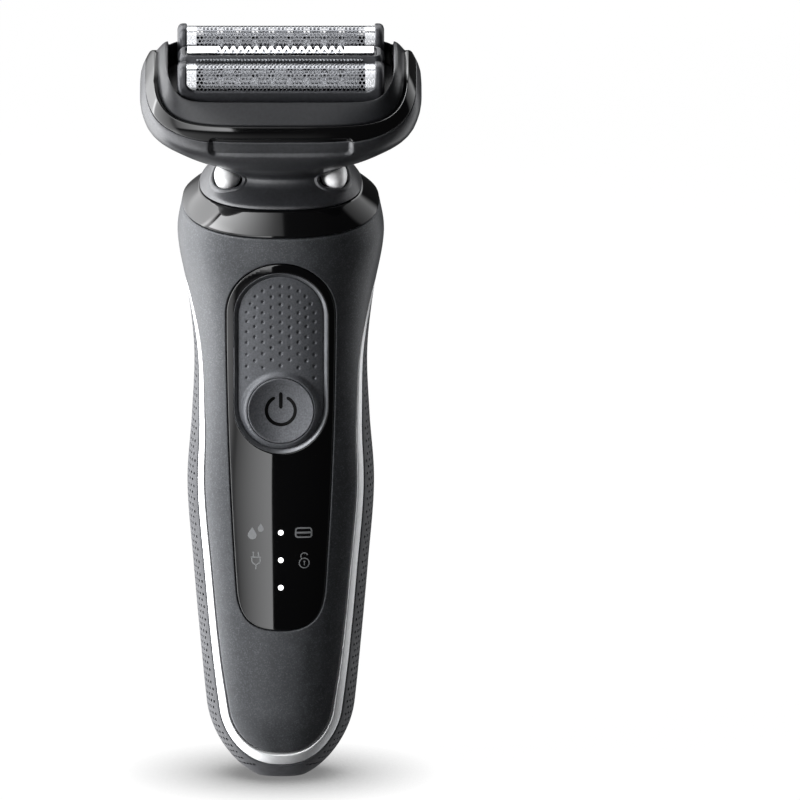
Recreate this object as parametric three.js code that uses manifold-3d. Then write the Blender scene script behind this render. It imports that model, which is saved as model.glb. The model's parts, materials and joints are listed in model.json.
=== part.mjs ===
// Foil shaver: a rounded handle with a display panel and power button, and a tilted head
// that carries a lift-off cassette with two sprung foils and a sprung trimmer between them.
// Millimetres, +Z up along the handle, front = -Y, origin at the centre of the charging face.
import * as THREE from 'three';
import { mergeVertices } from 'three/addons/utils/BufferGeometryUtils.js';
import Module from 'manifold-3d';

const wasm = await Module();
wasm.setup();

// ---------------------------------------------------------------- driving dimensions

// Handle sections: height, half width, depth of the front half, depth of the back half.
const HANDLE_SECTIONS = [
  [0, 14.0, 12.6, 11.8],
  [16, 16.1, 13.9, 13.4],
  [30, 17.5, 15.2, 15.4],
  [47, 19.0, 16.0, 16.6],
  [65, 20.3, 16.4, 17.2],
  [80, 19.3, 16.0, 16.4],
  [94, 18.8, 15.9, 15.6],
  [107, 20.1, 16.8, 15.6],
  [120.5, 22.4, 18.6, 16.8],
  [127.2, 21.4, 18.9, 16.8],
];
const HANDLE_TOP = 127.2;
const HANDLE_ROUNDNESS = 2.4; // superellipse exponent of every handle section
const CAP_HEIGHT = 16; // the bottom end rounds in below this height
const CAP_RADIUS = 17.5;
const TOP_SLOPE = 0.255; // the handle's top edge rises towards the back
const SLOPE_START = 100;
const WALL = 2.2;

const PANEL_THICKNESS = 1.6;
const PAD_RECESS = 0.9; // the thumb pad lies below the panel's surface
const PAD_THICKNESS = 1.5;
const PAD_LOW = 84.4; // centres of the two round ends of the thumb pad
const PAD_HIGH = 104.4;
const PAD_RADIUS = 9.7;
const BUTTON_RADIUS = 7.2;
const BUTTON_Z = 83.6;
const LENS_HEIGHTS = { top: 56.7, middle: 50.55, bottom: 44.4 };
const LENS_RADIUS = 0.55;

const BAND_WIDTH = 1.6; // the trim band between the front housing and the rear grip
const FIT = 0.3; // clearance between neighbouring pieces

const DRIVE_Y = 1.6; // battery and motor axis, behind the handle's centre
const BATTERY_RADIUS = 7.1;
const BATTERY_BOTTOM = 22;
const BATTERY_LENGTH = 50;
const MOTOR_RADIUS = 8;
const MOTOR_BOTTOM = 91;
const MOTOR_TOP = 115;
const CHASSIS_WALL = 0.9;

const HEAD_TILT = THREE.MathUtils.degToRad(19); // the head leans forward
const NECK_HEIGHT = 132.5; // where the head's own axes start
const COLLAR_TILT = THREE.MathUtils.degToRad(10.3); // the neck ring's top edge leans less
const COLLAR_HEIGHT = 130.6;
const COLLAR_HALF_WIDTH = 17.8;
const COLLAR_HALF_DEPTH = 16.1;

// Head outline: height in the head's own axes, half width, half depth.
const HEAD_SECTIONS = [
  [0.3, 17.6, 15.9],
  [0.9, 17.3, 15.2],
  [1.8, 16.6, 13.4],
  [2.5, 15.8, 11.8],
  [3.2, 14.9, 10.3],
  [4.5, 14.1, 9.3],
  [6, 15.2, 10.1],
  [7.5, 18, 11.8],
  [9.5, 22, 14.1],
  [12, 25, 16],
  [15, 28, 17.4],
  [18, 29.7, 18],
  [22, 30.5, 17.8],
  [26, 29.2, 16.2],
  [29.6, 27.3, 14.2],
];
const FOOT_TOP = 6; // below this height the head's outline bends towards the neck ring's plane
const HEAD_UPPER_ROUNDNESS = 3.8; // superellipse exponent at the cassette
const HEAD_WALL = 1.7;
const SHELL_WALL = 0.95;

const STROKE = 1.2; // side-to-side travel of the drive bridge and the cutters
const PIN_RADIUS = 0.9;
const PIN_TOP = 25;
const FOIL_PITCH = 8.15; // distance of each foil from the trimmer's centre line
const ARCH_HEIGHT = 28.5; // centre height of the foil arches
const FOIL_RADIUS = 3.8;
const FOIL_THICKNESS = 0.35;
const FOIL_HALF_LENGTH = 20.3;
const CUTTER_RADIUS = 3.2;
const CUTTER_HALF_LENGTH = 16.8;
const BLADE_ROOM = CUTTER_HALF_LENGTH + STROKE + FIT; // half length of the space a blade moves in
const HOLDER_HALF_LENGTH = 22.4;
const HOLDER_HALF_DEPTH = 4.3;
const SPRING_X = 20.2;
const OPENING_HALF_WIDTH = 24.4; // the cassette's opening around the foils
const OPENING_HALF_DEPTH = 13.6;
const OPENING_ROUNDNESS = 8;
const TRAY_TOP = 20.8;

// ---------------------------------------------------------------- materials

function finish(colour, roughness, metalness = 0) {
  return new THREE.MeshStandardMaterial({ color: colour, roughness, metalness });
}

const paintedGrey = finish(0x2c2e31, 0.5, 0.3);
const glossBlack = finish(0x08080a, 0.12);
const satinGrey = finish(0x1b1c1f, 0.4);
const blackRubber = finish(0x17181a, 0.8);
const padRubber = finish(0x2a2b2e, 0.7);
const satinSilver = finish(0xd5d7da, 0.3, 0.9);
const buttonSilver = finish(0xdcdee0, 0.35, 0.6);
const steel = finish(0xb9bcc0, 0.25, 1);
const darkPlastic = finish(0x1d1e20, 0.6);
const whiteLens = finish(0xffffff, 0.3);
const boardGreen = finish(0x1f5a38, 0.6);
const cellSleeve = finish(0x2f6fa8, 0.5);
const motorSteel = finish(0x9a9da1, 0.35, 1);
const goldPlate = finish(0xc9a24a, 0.3, 1);
const whiteAcetal = finish(0xe6e6e2, 0.45);
const greySilicone = finish(0x4a4c50, 0.7);

// ---------------------------------------------------------------- geometry helpers

/** Smooth value of one column of a section table at a height (Hermite, one-sided at the ends). */
function sectionValue(table, column, height) {
  const last = table.length - 1;
  const z = THREE.MathUtils.clamp(height, table[0][0], table[last][0]);
  let row = 0;
  while (row < last - 1 && table[row + 1][0] < z) row += 1;
  const slope = (i) => {
    const low = table[Math.max(i - 1, 0)];
    const high = table[Math.min(i + 1, last)];
    return (high[column] - low[column]) / (high[0] - low[0]);
  };
  const span = table[row + 1][0] - table[row][0];
  const t = (z - table[row][0]) / span;
  const start = table[row][column];
  const end = table[row + 1][column];
  return (2 * t ** 3 - 3 * t ** 2 + 1) * start
    + (t ** 3 - 2 * t ** 2 + t) * span * slope(row)
    + (3 * t ** 2 - 2 * t ** 3) * end
    + (t ** 3 - t ** 2) * span * slope(row + 1);
}

/** Closed superellipse loop, counter-clockwise from above; place(x, y) gives each 3-D point. */
function superellipse(halfWidth, frontDepth, backDepth, roundness, count, place) {
  const loop = [];
  for (let i = 0; i < count; i += 1) {
    const angle = (2 * Math.PI * i) / count;
    const across = Math.cos(angle);
    const along = Math.sin(angle);
    const depth = along < 0 ? frontDepth : backDepth;
    const x = halfWidth * Math.sign(across) * Math.abs(across) ** (2 / roundness);
    const y = depth * Math.sign(along) * Math.abs(along) ** (2 / roundness);
    loop.push(place(x, y));
  }
  return loop;
}

function signedVolume(positions, index) {
  const corner = (i) => new THREE.Vector3().fromArray(positions, 3 * index[i]);
  let volume = 0;
  for (let i = 0; i < index.length; i += 3) {
    volume += corner(i).dot(corner(i + 1).cross(corner(i + 2))) / 6;
  }
  return volume;
}

/** Turns a closed geometry into a solid that can be joined and cut. */
function solid(geometry) {
  const bare = geometry.clone();
  bare.deleteAttribute('normal');
  bare.deleteAttribute('uv');
  const merged = mergeVertices(bare, 1e-4);
  const vertProperties = new Float32Array(merged.attributes.position.array);
  const triVerts = new Uint32Array(merged.index.array);
  if (signedVolume(vertProperties, triVerts) < 0) triVerts.reverse();
  return new wasm.Manifold(new wasm.Mesh({ numProp: 3, vertProperties, triVerts }));
}

function geometryOf(body) {
  const mesh = body.getMesh();
  const geometry = new THREE.BufferGeometry();
  geometry.setAttribute('position', new THREE.BufferAttribute(mesh.vertProperties, 3));
  geometry.setIndex(new THREE.BufferAttribute(mesh.triVerts, 1));
  geometry.computeVertexNormals();
  return geometry;
}

/** Skins a stack of loops; a ring loft joins the last loop to the first, otherwise both ends close. */
function loft(loops, ring = false) {
  const count = loops[0].length;
  const index = [];
  const rows = ring ? loops.length : loops.length - 1;
  for (let row = 0; row < rows; row += 1) {
    const next = (row + 1) % loops.length;
    for (let i = 0; i < count; i += 1) {
      const j = (i + 1) % count;
      index.push(row * count + i, row * count + j, next * count + j);
      index.push(row * count + i, next * count + j, next * count + i);
    }
  }
  if (!ring) {
    const top = (loops.length - 1) * count;
    for (let i = 1; i < count - 1; i += 1) {
      index.push(0, i + 1, i);
      index.push(top, top + i, top + i + 1);
    }
  }
  const geometry = new THREE.BufferGeometry().setFromPoints(loops.flat());
  geometry.setIndex(index);
  return solid(geometry);
}

function box(x0, x1, y0, y1, z0, z1) {
  const geometry = new THREE.BoxGeometry(x1 - x0, y1 - y0, z1 - z0);
  geometry.translate((x0 + x1) / 2, (y0 + y1) / 2, (z0 + z1) / 2);
  return solid(geometry);
}

/** Upright cylinder from z0 to z1. */
function post(x, y, radius, z0, z1, sides = 16) {
  const geometry = new THREE.CylinderGeometry(radius, radius, z1 - z0, sides);
  geometry.rotateX(Math.PI / 2);
  geometry.translate(x, y, (z0 + z1) / 2);
  return solid(geometry);
}

/** Cylinder along Y from y0 to y1. */
function peg(x, z, radius, y0, y1, sides = 24) {
  const geometry = new THREE.CylinderGeometry(radius, radius, y1 - y0, sides);
  geometry.translate(x, (y0 + y1) / 2, z);
  return solid(geometry);
}

function extrude(shape, depth, xAxis, yAxis, zAxis, curveSegments = 8) {
  const geometry = new THREE.ExtrudeGeometry(shape, { depth, bevelEnabled: false, curveSegments });
  geometry.applyMatrix4(new THREE.Matrix4().makeBasis(xAxis, yAxis, zAxis));
  return geometry;
}

const X_AXIS = new THREE.Vector3(1, 0, 0);
const Y_AXIS = new THREE.Vector3(0, 1, 0);
const Z_AXIS = new THREE.Vector3(0, 0, 1);

/** Solid from a side-view outline (y, z), from x0 to x1. */
function acrossPrism(shape, x0, x1, curveSegments) {
  const geometry = extrude(shape, x1 - x0, Y_AXIS, Z_AXIS, X_AXIS, curveSegments);
  geometry.translate(x0, 0, 0);
  return solid(geometry);
}

/** Solid from a front-view outline (x, z), from y0 to y1. */
function frontPrism(shape, y0, y1, curveSegments) {
  const geometry = extrude(shape, y1 - y0, X_AXIS, Z_AXIS, Y_AXIS.clone().negate(), curveSegments);
  geometry.translate(0, y1, 0);
  return solid(geometry);
}

/** Solid from a plan outline (x, y), from z0 to z1. */
function planPrism(shape, z0, z1, curveSegments) {
  const geometry = extrude(shape, z1 - z0, X_AXIS, Y_AXIS, Z_AXIS, curveSegments);
  geometry.translate(0, 0, z0);
  return solid(geometry);
}

function outline(points) {
  return new THREE.Shape(points.map(([x, y]) => new THREE.Vector2(x, y)));
}

/** Rectangle with rounded corners, centred on the given point. */
function roundedRectangle(halfWidth, halfHeight, radius, centreX = 0, centreY = 0) {
  const shape = new THREE.Shape();
  const left = centreX - halfWidth;
  const right = centreX + halfWidth;
  const low = centreY - halfHeight;
  const high = centreY + halfHeight;
  shape.moveTo(left + radius, low);
  shape.absarc(right - radius, low + radius, radius, -Math.PI / 2, 0);
  shape.absarc(right - radius, high - radius, radius, 0, Math.PI / 2);
  shape.absarc(left + radius, high - radius, radius, Math.PI / 2, Math.PI);
  shape.absarc(left + radius, low + radius, radius, Math.PI, 1.5 * Math.PI);
  return shape;
}

/** Upright slot outline with round ends, in a front view. */
function uprightSlot(radius, lowZ, highZ) {
  const shape = new THREE.Shape();
  shape.moveTo(-radius, lowZ);
  shape.absarc(0, lowZ, radius, Math.PI, 2 * Math.PI);
  shape.absarc(0, highZ, radius, 0, Math.PI);
  return shape;
}

class Helix extends THREE.Curve {
  constructor(radius, length, turns) {
    super();
    Object.assign(this, { radius, length, turns });
  }

  getPoint(t, target = new THREE.Vector3()) {
    const angle = 2 * Math.PI * this.turns * t;
    return target.set(this.radius * Math.cos(angle), this.radius * Math.sin(angle), this.length * t);
  }
}

/** Coil spring standing on z = 0; length is the coil's height between wire centres. */
function coilSpring(radius, wire, length, turns) {
  const stepsPerTurn = 6;
  const section = new THREE.Shape();
  section.absarc(0, 0, wire, 0, 2 * Math.PI);
  const geometry = new THREE.ExtrudeGeometry(section, {
    steps: stepsPerTurn * turns,
    curveSegments: 2,
    bevelEnabled: false,
    extrudePath: new Helix(radius, length, turns),
  });
  geometry.translate(0, 0, wire);
  return geometry;
}

function union(bodies) {
  return bodies.reduce((whole, next) => whole.add(next));
}

// ---------------------------------------------------------------- groups

const shaver = new THREE.Group();
const head = new THREE.Group(); // x across, y towards the back, z along the head's own axis
head.rotation.x = HEAD_TILT;
head.position.z = NECK_HEIGHT;
head.updateMatrix();
shaver.add(head);
const collar = new THREE.Group(); // the plane where the head stands on the neck ring
collar.rotation.x = COLLAR_TILT;
collar.position.z = COLLAR_HEIGHT;
collar.updateMatrix();
shaver.add(collar);

/** Adds one named piece to a group. */
function addPiece(group, name, shape, material) {
  const geometry = shape.isBufferGeometry ? geometryOf(solid(shape)) : geometryOf(shape);
  const mesh = new THREE.Mesh(geometry, material);
  mesh.name = name;
  group.add(mesh);
  return mesh;
}

// ---------------------------------------------------------------- handle shells

const HANDLE_AROUND = 28;
const OUTER_LEVELS = [0, 1.5, 4, 8, 13, 20, 31, 45, 58, 70, 84, 96, 107, 116, 122, 127.2];
const CAVITY_LEVELS = [3, 7, 13, 28, 46, 65, 82, 98, 112, 128];

/** One section loop of the handle's surface, moved inwards by an inset. */
function handleLoop(height, inset) {
  const into = Math.max(0, (CAP_HEIGHT - height) / CAP_RADIUS);
  const cap = Math.sqrt(1 - into ** 2);
  const rise = TOP_SLOPE * THREE.MathUtils.smoothstep(height, SLOPE_START, HANDLE_TOP);
  const [halfWidth, front, back] = [1, 2, 3].map(
    (column) => cap * sectionValue(HANDLE_SECTIONS, column, height) - inset,
  );
  const place = (x, y) => new THREE.Vector3(x, y, height + rise * y);
  return superellipse(halfWidth, front, back, HANDLE_ROUNDNESS, HANDLE_AROUND, place);
}

function handleBody(levels, inset) {
  return loft(levels.map((height) => handleLoop(height, inset)));
}

const handleOuter = handleBody(OUTER_LEVELS, 0);
const handleShell = handleOuter.subtract(handleBody(CAVITY_LEVELS, WALL));

// Parting line in the side view (y, z): it runs up the front edge of the handle,
// then sweeps over the shoulder to the back.
const PARTING_LINE = new THREE.SplineCurve([
  new THREE.Vector2(-10.7, -5),
  new THREE.Vector2(-11.2, 50),
  new THREE.Vector2(-10.6, 72),
  new THREE.Vector2(-8.8, 88),
  new THREE.Vector2(-7.2, 100),
  new THREE.Vector2(-5, 107),
  new THREE.Vector2(-1, 112),
  new THREE.Vector2(4.5, 117),
  new THREE.Vector2(11, 121.5),
  new THREE.Vector2(20, 124),
]);
const PARTING_STEPS = 20;
const BEYOND = 60; // past every face of the handle

/** Points of the parting line moved towards the back by a distance. */
function partingPoints(distance) {
  const points = [];
  for (let i = 0; i <= PARTING_STEPS; i += 1) {
    const point = PARTING_LINE.getPoint(i / PARTING_STEPS);
    const tangent = PARTING_LINE.getTangent(i / PARTING_STEPS);
    points.push([point.x + tangent.y * distance, point.y - tangent.x * distance]);
  }
  return points;
}

function handleZone(points) {
  return acrossPrism(outline(points), -BEYOND, BEYOND);
}

const frontZone = handleZone([...partingPoints(0), [BEYOND, 130], [BEYOND, 200], [-BEYOND, 200], [-BEYOND, -5]]);
const bandZone = handleZone([...partingPoints(FIT), ...partingPoints(FIT + BAND_WIDTH).reverse()]);
const rearZone = handleZone([...partingPoints(2 * FIT + BAND_WIDTH), [BEYOND, 120], [BEYOND, -5]]);

/** Tongue-shaped outline of the display panel in the front view, grown by a margin. */
function panelOutline(margin) {
  const low = 34.7 - margin;
  const high = 104.8;
  const side = 11.85 + margin;
  const shape = new THREE.Shape();
  shape.moveTo(0, low);
  shape.bezierCurveTo(6.2, low, 9 + margin, 37, 9.6 + margin, 43.5);
  shape.bezierCurveTo(10.6 + margin, 58, side, 82, side, high);
  shape.absarc(0, high, side, 0, Math.PI);
  shape.bezierCurveTo(-side, 82, -10.6 - margin, 58, -9.6 - margin, 43.5);
  shape.bezierCurveTo(-9 - margin, 37, -6.2, low, 0, low);
  return shape;
}

function lensHole(height, margin) {
  return peg(0, height, LENS_RADIUS + margin, -BEYOND, 0, 10);
}

function addHandleShells() {
  const panelWindow = frontPrism(panelOutline(FIT), -BEYOND, 0, 6);
  const socketOpening = planPrism(roundedRectangle(3.8 + FIT, 2.6 + FIT, 2.6), -1, 8, 2);
  addPiece(shaver, 'front_housing', handleShell.intersect(frontZone).subtract(panelWindow), paintedGrey);
  addPiece(shaver, 'trim_band', handleShell.intersect(bandZone), satinSilver);
  addPiece(shaver, 'rear_grip', handleShell.intersect(rearZone).subtract(socketOpening), blackRubber);
}

// ---------------------------------------------------------------- panel, pad and button

function addControls() {
  const underPanel = handleBody(OUTER_LEVELS.slice(2), PANEL_THICKNESS);
  const padTop = handleBody(OUTER_LEVELS.slice(2), PAD_RECESS);
  const padBottom = handleBody(OUTER_LEVELS.slice(2), PAD_RECESS + PAD_THICKNESS);
  const padHole = frontPrism(uprightSlot(PAD_RADIUS + FIT, PAD_LOW, PAD_HIGH), -BEYOND, 0, 6);
  const padBlank = frontPrism(uprightSlot(PAD_RADIUS, PAD_LOW, PAD_HIGH), -BEYOND, 0, 6);
  const lenses = Object.entries(LENS_HEIGHTS);

  const panel = handleOuter.intersect(frontPrism(panelOutline(0), -BEYOND, 0, 6)).subtract(underPanel);
  const lensHoles = union(lenses.map(([, height]) => lensHole(height, 0.15)));
  addPiece(shaver, 'display_panel', panel.subtract(padHole).subtract(lensHoles), glossBlack);

  const pad = padTop.intersect(padBlank).subtract(padBottom);
  const buttonHole = peg(0, BUTTON_Z, BUTTON_RADIUS + 0.35, -BEYOND, 0, 24);
  addPiece(shaver, 'thumb_pad', pad.subtract(buttonHole), padRubber);

  for (const [place, height] of lenses) {
    const front = handleLoop(height, 0.1)[(3 * HANDLE_AROUND) / 4].y;
    addPiece(shaver, `indicator_lens_${place}`, peg(0, height, LENS_RADIUS, front, front + 1.6, 10), whiteLens);
  }

  // The button is a shallow dish with a rounded rim and a stem that reaches the switch.
  const buttonProfile = [
    [0, -15.2], [5.4, -15.45], [6.7, -15.7], [BUTTON_RADIUS, -15.3], [BUTTON_RADIUS, -14.2],
    [2, -13.9], [2, -11.8], [0, -11.8],
  ].map(([radius, y]) => new THREE.Vector2(radius, y));
  const button = new THREE.LatheGeometry(buttonProfile, 24);
  button.translate(0, 0, BUTTON_Z);
  addPiece(shaver, 'power_button', button, padRubber);

  const sealHole = peg(0, BUTTON_Z, 2.3, -13, -11, 16);
  addPiece(shaver, 'button_seal', peg(0, BUTTON_Z, 7.6, -12.4, -11.8).subtract(sealHole), greySilicone);
}

// ---------------------------------------------------------------- inside the handle

const BOARD_BACK = -8.4;
const BOARD_FRONT = -9.6;

/** Plan outline of the chassis channel: a round back with straight sides, open at the front. */
function channelOutline(radius, frontY) {
  const shape = new THREE.Shape();
  shape.moveTo(radius, frontY);
  shape.lineTo(radius, DRIVE_Y);
  shape.absarc(0, DRIVE_Y, radius, 0, Math.PI);
  shape.lineTo(-radius, frontY);
  return shape;
}

function addChassis() {
  const inside = MOTOR_RADIUS + FIT;
  const outer = planPrism(channelOutline(inside + CHASSIS_WALL, -7), 20, 110, 6);
  const hollow = planPrism(channelOutline(inside, -8), 19, 111, 6);
  const plates = [[20, 21.5], [74, 75.5], [89, 90.5]].map(
    ([low, high]) => planPrism(channelOutline(inside + 0.2, -6.9), low, high, 6),
  );
  addPiece(shaver, 'inner_chassis', union([outer.subtract(hollow), ...plates]), darkPlastic);
}

function addPower() {
  const cellTop = BATTERY_BOTTOM + BATTERY_LENGTH;
  addPiece(shaver, 'battery_cell', post(0, DRIVE_Y, BATTERY_RADIUS, BATTERY_BOTTOM, cellTop, 24), cellSleeve);
  addPiece(shaver, 'battery_tab', box(-2.5, 2.5, DRIVE_Y - 6, DRIVE_Y + 3, cellTop + 0.1, cellTop + 0.5), steel);
  addPiece(shaver, 'circuit_board', box(-9.8, 9.8, BOARD_FRONT, BOARD_BACK, 26, 98), boardGreen);
  const switchBody = box(-2.5, 2.5, -10.9, -9.9, BUTTON_Z - 2.5, BUTTON_Z + 2.5);
  addPiece(shaver, 'tact_switch', switchBody, steel);
}

function addChargingSocket() {
  const wells = [-2.2, 2.2].map((x) => post(x, 0, 1.2, -1, 6, 12));
  const insert = planPrism(roundedRectangle(3.8, 2.6, 2.5), 0, 8, 2).subtract(union(wells));
  addPiece(shaver, 'charging_socket', insert, darkPlastic);
  addPiece(shaver, 'charging_pin_left', post(-2.2, 0, 0.6, 1.5, 5.7, 10), goldPlate);
  addPiece(shaver, 'charging_pin_right', post(2.2, 0, 0.6, 1.5, 5.7, 10), goldPlate);
  const sealHole = planPrism(roundedRectangle(3.8 + FIT, 2.6 + FIT, 2.6), 4, 6, 2);
  const seal = planPrism(roundedRectangle(5, 3.8, 3.5), 4.2, 5.4, 2).subtract(sealHole);
  addPiece(shaver, 'socket_seal', seal, greySilicone);
}

function addMotor() {
  const shaftBore = post(0, DRIVE_Y, 1.3, MOTOR_TOP - 7, MOTOR_TOP + 1, 12);
  addPiece(shaver, 'motor_can', post(0, DRIVE_Y, MOTOR_RADIUS, MOTOR_BOTTOM, MOTOR_TOP, 24).subtract(shaftBore), motorSteel);
  addPiece(shaver, 'motor_shaft', post(0, DRIVE_Y, 1, MOTOR_TOP - 6.7, 120.3, 12), steel);
  const disc = post(0, DRIVE_Y, 3.2, 118.8, 121.4, 20).subtract(post(0, DRIVE_Y, 1.3, 118, 120.6, 12));
  const crankPin = post(0, DRIVE_Y - STROKE, 0.8, 121, 126, 12);
  addPiece(shaver, 'eccentric_cam', disc.add(crankPin), whiteAcetal);
}

// ---------------------------------------------------------------- neck

/** Loop between the handle's top edge (share 0) and the collar plane (share 1), moved inwards. */
function neckLoop(share, inset) {
  const bottom = handleLoop(HANDLE_TOP, inset);
  const place = (x, y) => new THREE.Vector3(x, y, 0).applyMatrix4(collar.matrix);
  const halfWidth = COLLAR_HALF_WIDTH - inset;
  const halfDepth = COLLAR_HALF_DEPTH - inset;
  const top = superellipse(halfWidth, halfDepth, halfDepth, HANDLE_ROUNDNESS, HANDLE_AROUND, place);
  const inwards = share ** 1.2;
  return bottom.map((low, i) => {
    const point = low.clone().lerp(top[i], inwards);
    point.z = THREE.MathUtils.lerp(low.z + FIT, top[i].z, share);
    return point;
  });
}

/** Flat oval in the collar's axes. */
function oval(halfWidth, halfDepth, height) {
  const place = (x, y) => new THREE.Vector3(x, y, height);
  return superellipse(halfWidth, halfDepth, halfDepth, 2.4, 24, place);
}

function ovalPlate(halfWidth, halfDepth, low, high) {
  return loft([oval(halfWidth, halfDepth, low), oval(halfWidth, halfDepth, high)]);
}

const SCREW_Y = 9.2;

function addNeck() {
  const wall = 1.7;
  const shares = [0, 0.35, 0.7, 1];
  const outer = shares.map((share) => neckLoop(share, 0));
  const inner = shares.map((share) => neckLoop(share, wall)).reverse();
  addPiece(shaver, 'neck_ring', loft([...outer, ...inner], true), glossBlack);
  const sealHole = ovalPlate(12.4, 11.6, -3, 0);
  addPiece(collar, 'neck_seal', ovalPlate(14.6, 13.8, -2.2, -0.6).subtract(sealHole), greySilicone);

  // The mount is a ring around the moving fork of the drive bridge.
  const screwHoles = [-1, 1].map((side) => post(0, side * SCREW_Y, 1.2, -4, 0, 12));
  const forkRoom = box(-6.1, 6.1, -6.3, 6.5, -4, 0);
  const mount = ovalPlate(11.9, 11.1, -2.9, -0.6).subtract(forkRoom);
  addPiece(collar, 'bridge_mount', mount.subtract(union(screwHoles)), darkPlastic);
  for (const [name, side] of [['front', -1], ['rear', 1]]) {
    const shank = post(0, side * SCREW_Y, 0.9, -3.4, 2, 12);
    const cap = post(0, side * SCREW_Y, 1.9, -4.3, -3.2, 16);
    addPiece(collar, `bridge_screw_${name}`, shank.add(cap), steel);
  }
}

// ---------------------------------------------------------------- head base

const HEAD_AROUND = 36;

/** How far the head's outline drops at a depth y, so that its foot lies in the collar plane. */
function footDrop(y, height) {
  const slope = Math.tan(HEAD_TILT - COLLAR_TILT);
  const gap = (NECK_HEIGHT - COLLAR_HEIGHT) * Math.cos(COLLAR_TILT);
  const blend = 1 - THREE.MathUtils.smoothstep(height, HEAD_SECTIONS[0][0], FOOT_TOP);
  return (gap + slope * y) * blend;
}

/**
 * Loop on the head's outline. heightAt(share, along) gives its height from |x| / half width and
 * y / half depth, so an edge can rise towards the sides; inset moves it inwards, lift moves it up.
 */
function headLoop(heightAt, inset = 0, lift = 0) {
  const loop = [];
  for (let i = 0; i < HEAD_AROUND; i += 1) {
    const angle = (2 * Math.PI * i) / HEAD_AROUND;
    const cosine = Math.cos(angle);
    const sine = Math.sin(angle);
    const guess = heightAt(Math.abs(cosine) ** (2 / HEAD_UPPER_ROUNDNESS), sine);
    const power = 2 / headRoundness(guess);
    const across = Math.sign(cosine) * Math.abs(cosine) ** power;
    const along = Math.sign(sine) * Math.abs(sine) ** power;
    const height = heightAt(Math.abs(across), along);
    const x = (sectionValue(HEAD_SECTIONS, 1, height) - inset) * across;
    const y = (sectionValue(HEAD_SECTIONS, 2, height) - inset) * along;
    loop.push(new THREE.Vector3(x, y, height + lift - footDrop(y, height + lift)));
  }
  return loop;
}

/** The head is oval at the neck and a rounded rectangle at the cassette. */
function headRoundness(height) {
  return THREE.MathUtils.lerp(2.5, HEAD_UPPER_ROUNDNESS, THREE.MathUtils.smoothstep(height, 8, 18));
}

/** Seam between head base and cassette, rising towards the sides. */
function seamHeight(share) {
  return 18.3 + 7 * share ** 5;
}

/** The side ears keep their full height at the front and fall away towards the back. */
function earShare(along) {
  return 1 - THREE.MathUtils.smoothstep(along, 0.28, 0.9);
}

/** Top edge of the cassette shell, rising into the side ears. */
function shoulderHeight(share, along) {
  const rise = 6.6 * share ** 6.8;
  return Math.max(22.5 + rise * earShare(along), seamHeight(share) + SHELL_LOWEST);
}

function between(low, high, t) {
  return (share, along) => THREE.MathUtils.lerp(low(share, along), high(share, along), t);
}

const flat = (height) => () => height;
const EAR_CROWN = 0.7; // the ears' tops are rounded by this height
const SHELL_LOWEST = 1.8; // the cassette shell is at least this high at its back corners
const BUTTON_STROKE = 1.3;
const RELEASE_X = 11.7;
const RELEASE_Y = -5.2;
const RELEASE_Z = 3.1;

/** Egg-shaped release button; grow widens it into its pocket and shift presses it in. */
function releaseBody(side, grow, shift) {
  const geometry = new THREE.SphereGeometry(1, 14, 8);
  geometry.scale(3.1 + grow, 4.2 + grow, 2.7 + grow);
  geometry.translate(side * (RELEASE_X - shift), RELEASE_Y, RELEASE_Z);
  return solid(geometry);
}

function releasePocket(side) {
  const travel = [0, 1].map((share) => releaseBody(side, 0.4, share * BUTTON_STROKE));
  const springBore = new THREE.CylinderGeometry(1.4, 1.4, 3.2, 8);
  springBore.rotateZ(Math.PI / 2);
  springBore.translate(side * 7.4, RELEASE_Y, RELEASE_Z);
  return union([...travel, solid(springBore)]);
}

function addHeadBase() {
  const rim = 15;
  const middle = between(flat(rim), seamHeight, 0.5);
  const outerHeights = [0.3, 0.9, 1.8, 2.5, 3.2, 4.5, 6, 7.5, 9.5, 12, rim];
  const innerHeights = [rim, 12, 9.5, 7.5, 6, 4.5, 3.2];
  const floorOpening = [2.4, 0.3].map((height) => superellipse(
    9, 6.5, 6.5, 2.5, HEAD_AROUND, (x, y) => new THREE.Vector3(x, y, height - footDrop(y, 0.3)),
  ));
  const shell = loft([
    ...outerHeights.map((height) => headLoop(flat(height))),
    headLoop(middle),
    headLoop(seamHeight),
    headLoop(seamHeight, HEAD_WALL),
    headLoop(middle, HEAD_WALL),
    ...innerHeights.map((height) => headLoop(flat(height), 1.1, 1.2)),
    ...floorOpening,
  ], true);
  const toHead = head.matrix.clone().invert().multiply(collar.matrix);
  const screwHoles = [-1, 1].map((side) => {
    const geometry = new THREE.CylinderGeometry(1.2, 1.2, 3.7, 12);
    geometry.rotateX(Math.PI / 2);
    geometry.translate(0, side * SCREW_Y, 0.85);
    geometry.applyMatrix4(toHead);
    return solid(geometry);
  });
  const cuts = [...screwHoles, ...[-1, 1].map(releasePocket)];
  addPiece(head, 'head_base', shell.subtract(union(cuts)), satinGrey);

  for (const [name, side] of [['left', -1], ['right', 1]]) {
    addPiece(head, `release_button_${name}`, releaseBody(side, 0, 0), buttonSilver);
    const spring = coilSpring(0.8, 0.15, 1.8, 3);
    spring.rotateY(Math.PI / 2);
    spring.translate(side > 0 ? 6.2 : -8.3, RELEASE_Y, RELEASE_Z);
    addPiece(head, `release_spring_${name}`, spring, steel);
  }
}

// ---------------------------------------------------------------- drive

const PIN_PLACES = { front: -FOIL_PITCH, middle: 0, rear: FOIL_PITCH };

/** Plate that follows the head's outline. */
function headPlate(low, high, inset) {
  return loft([headLoop(flat(low), inset), headLoop(flat(high), inset)]);
}

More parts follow.
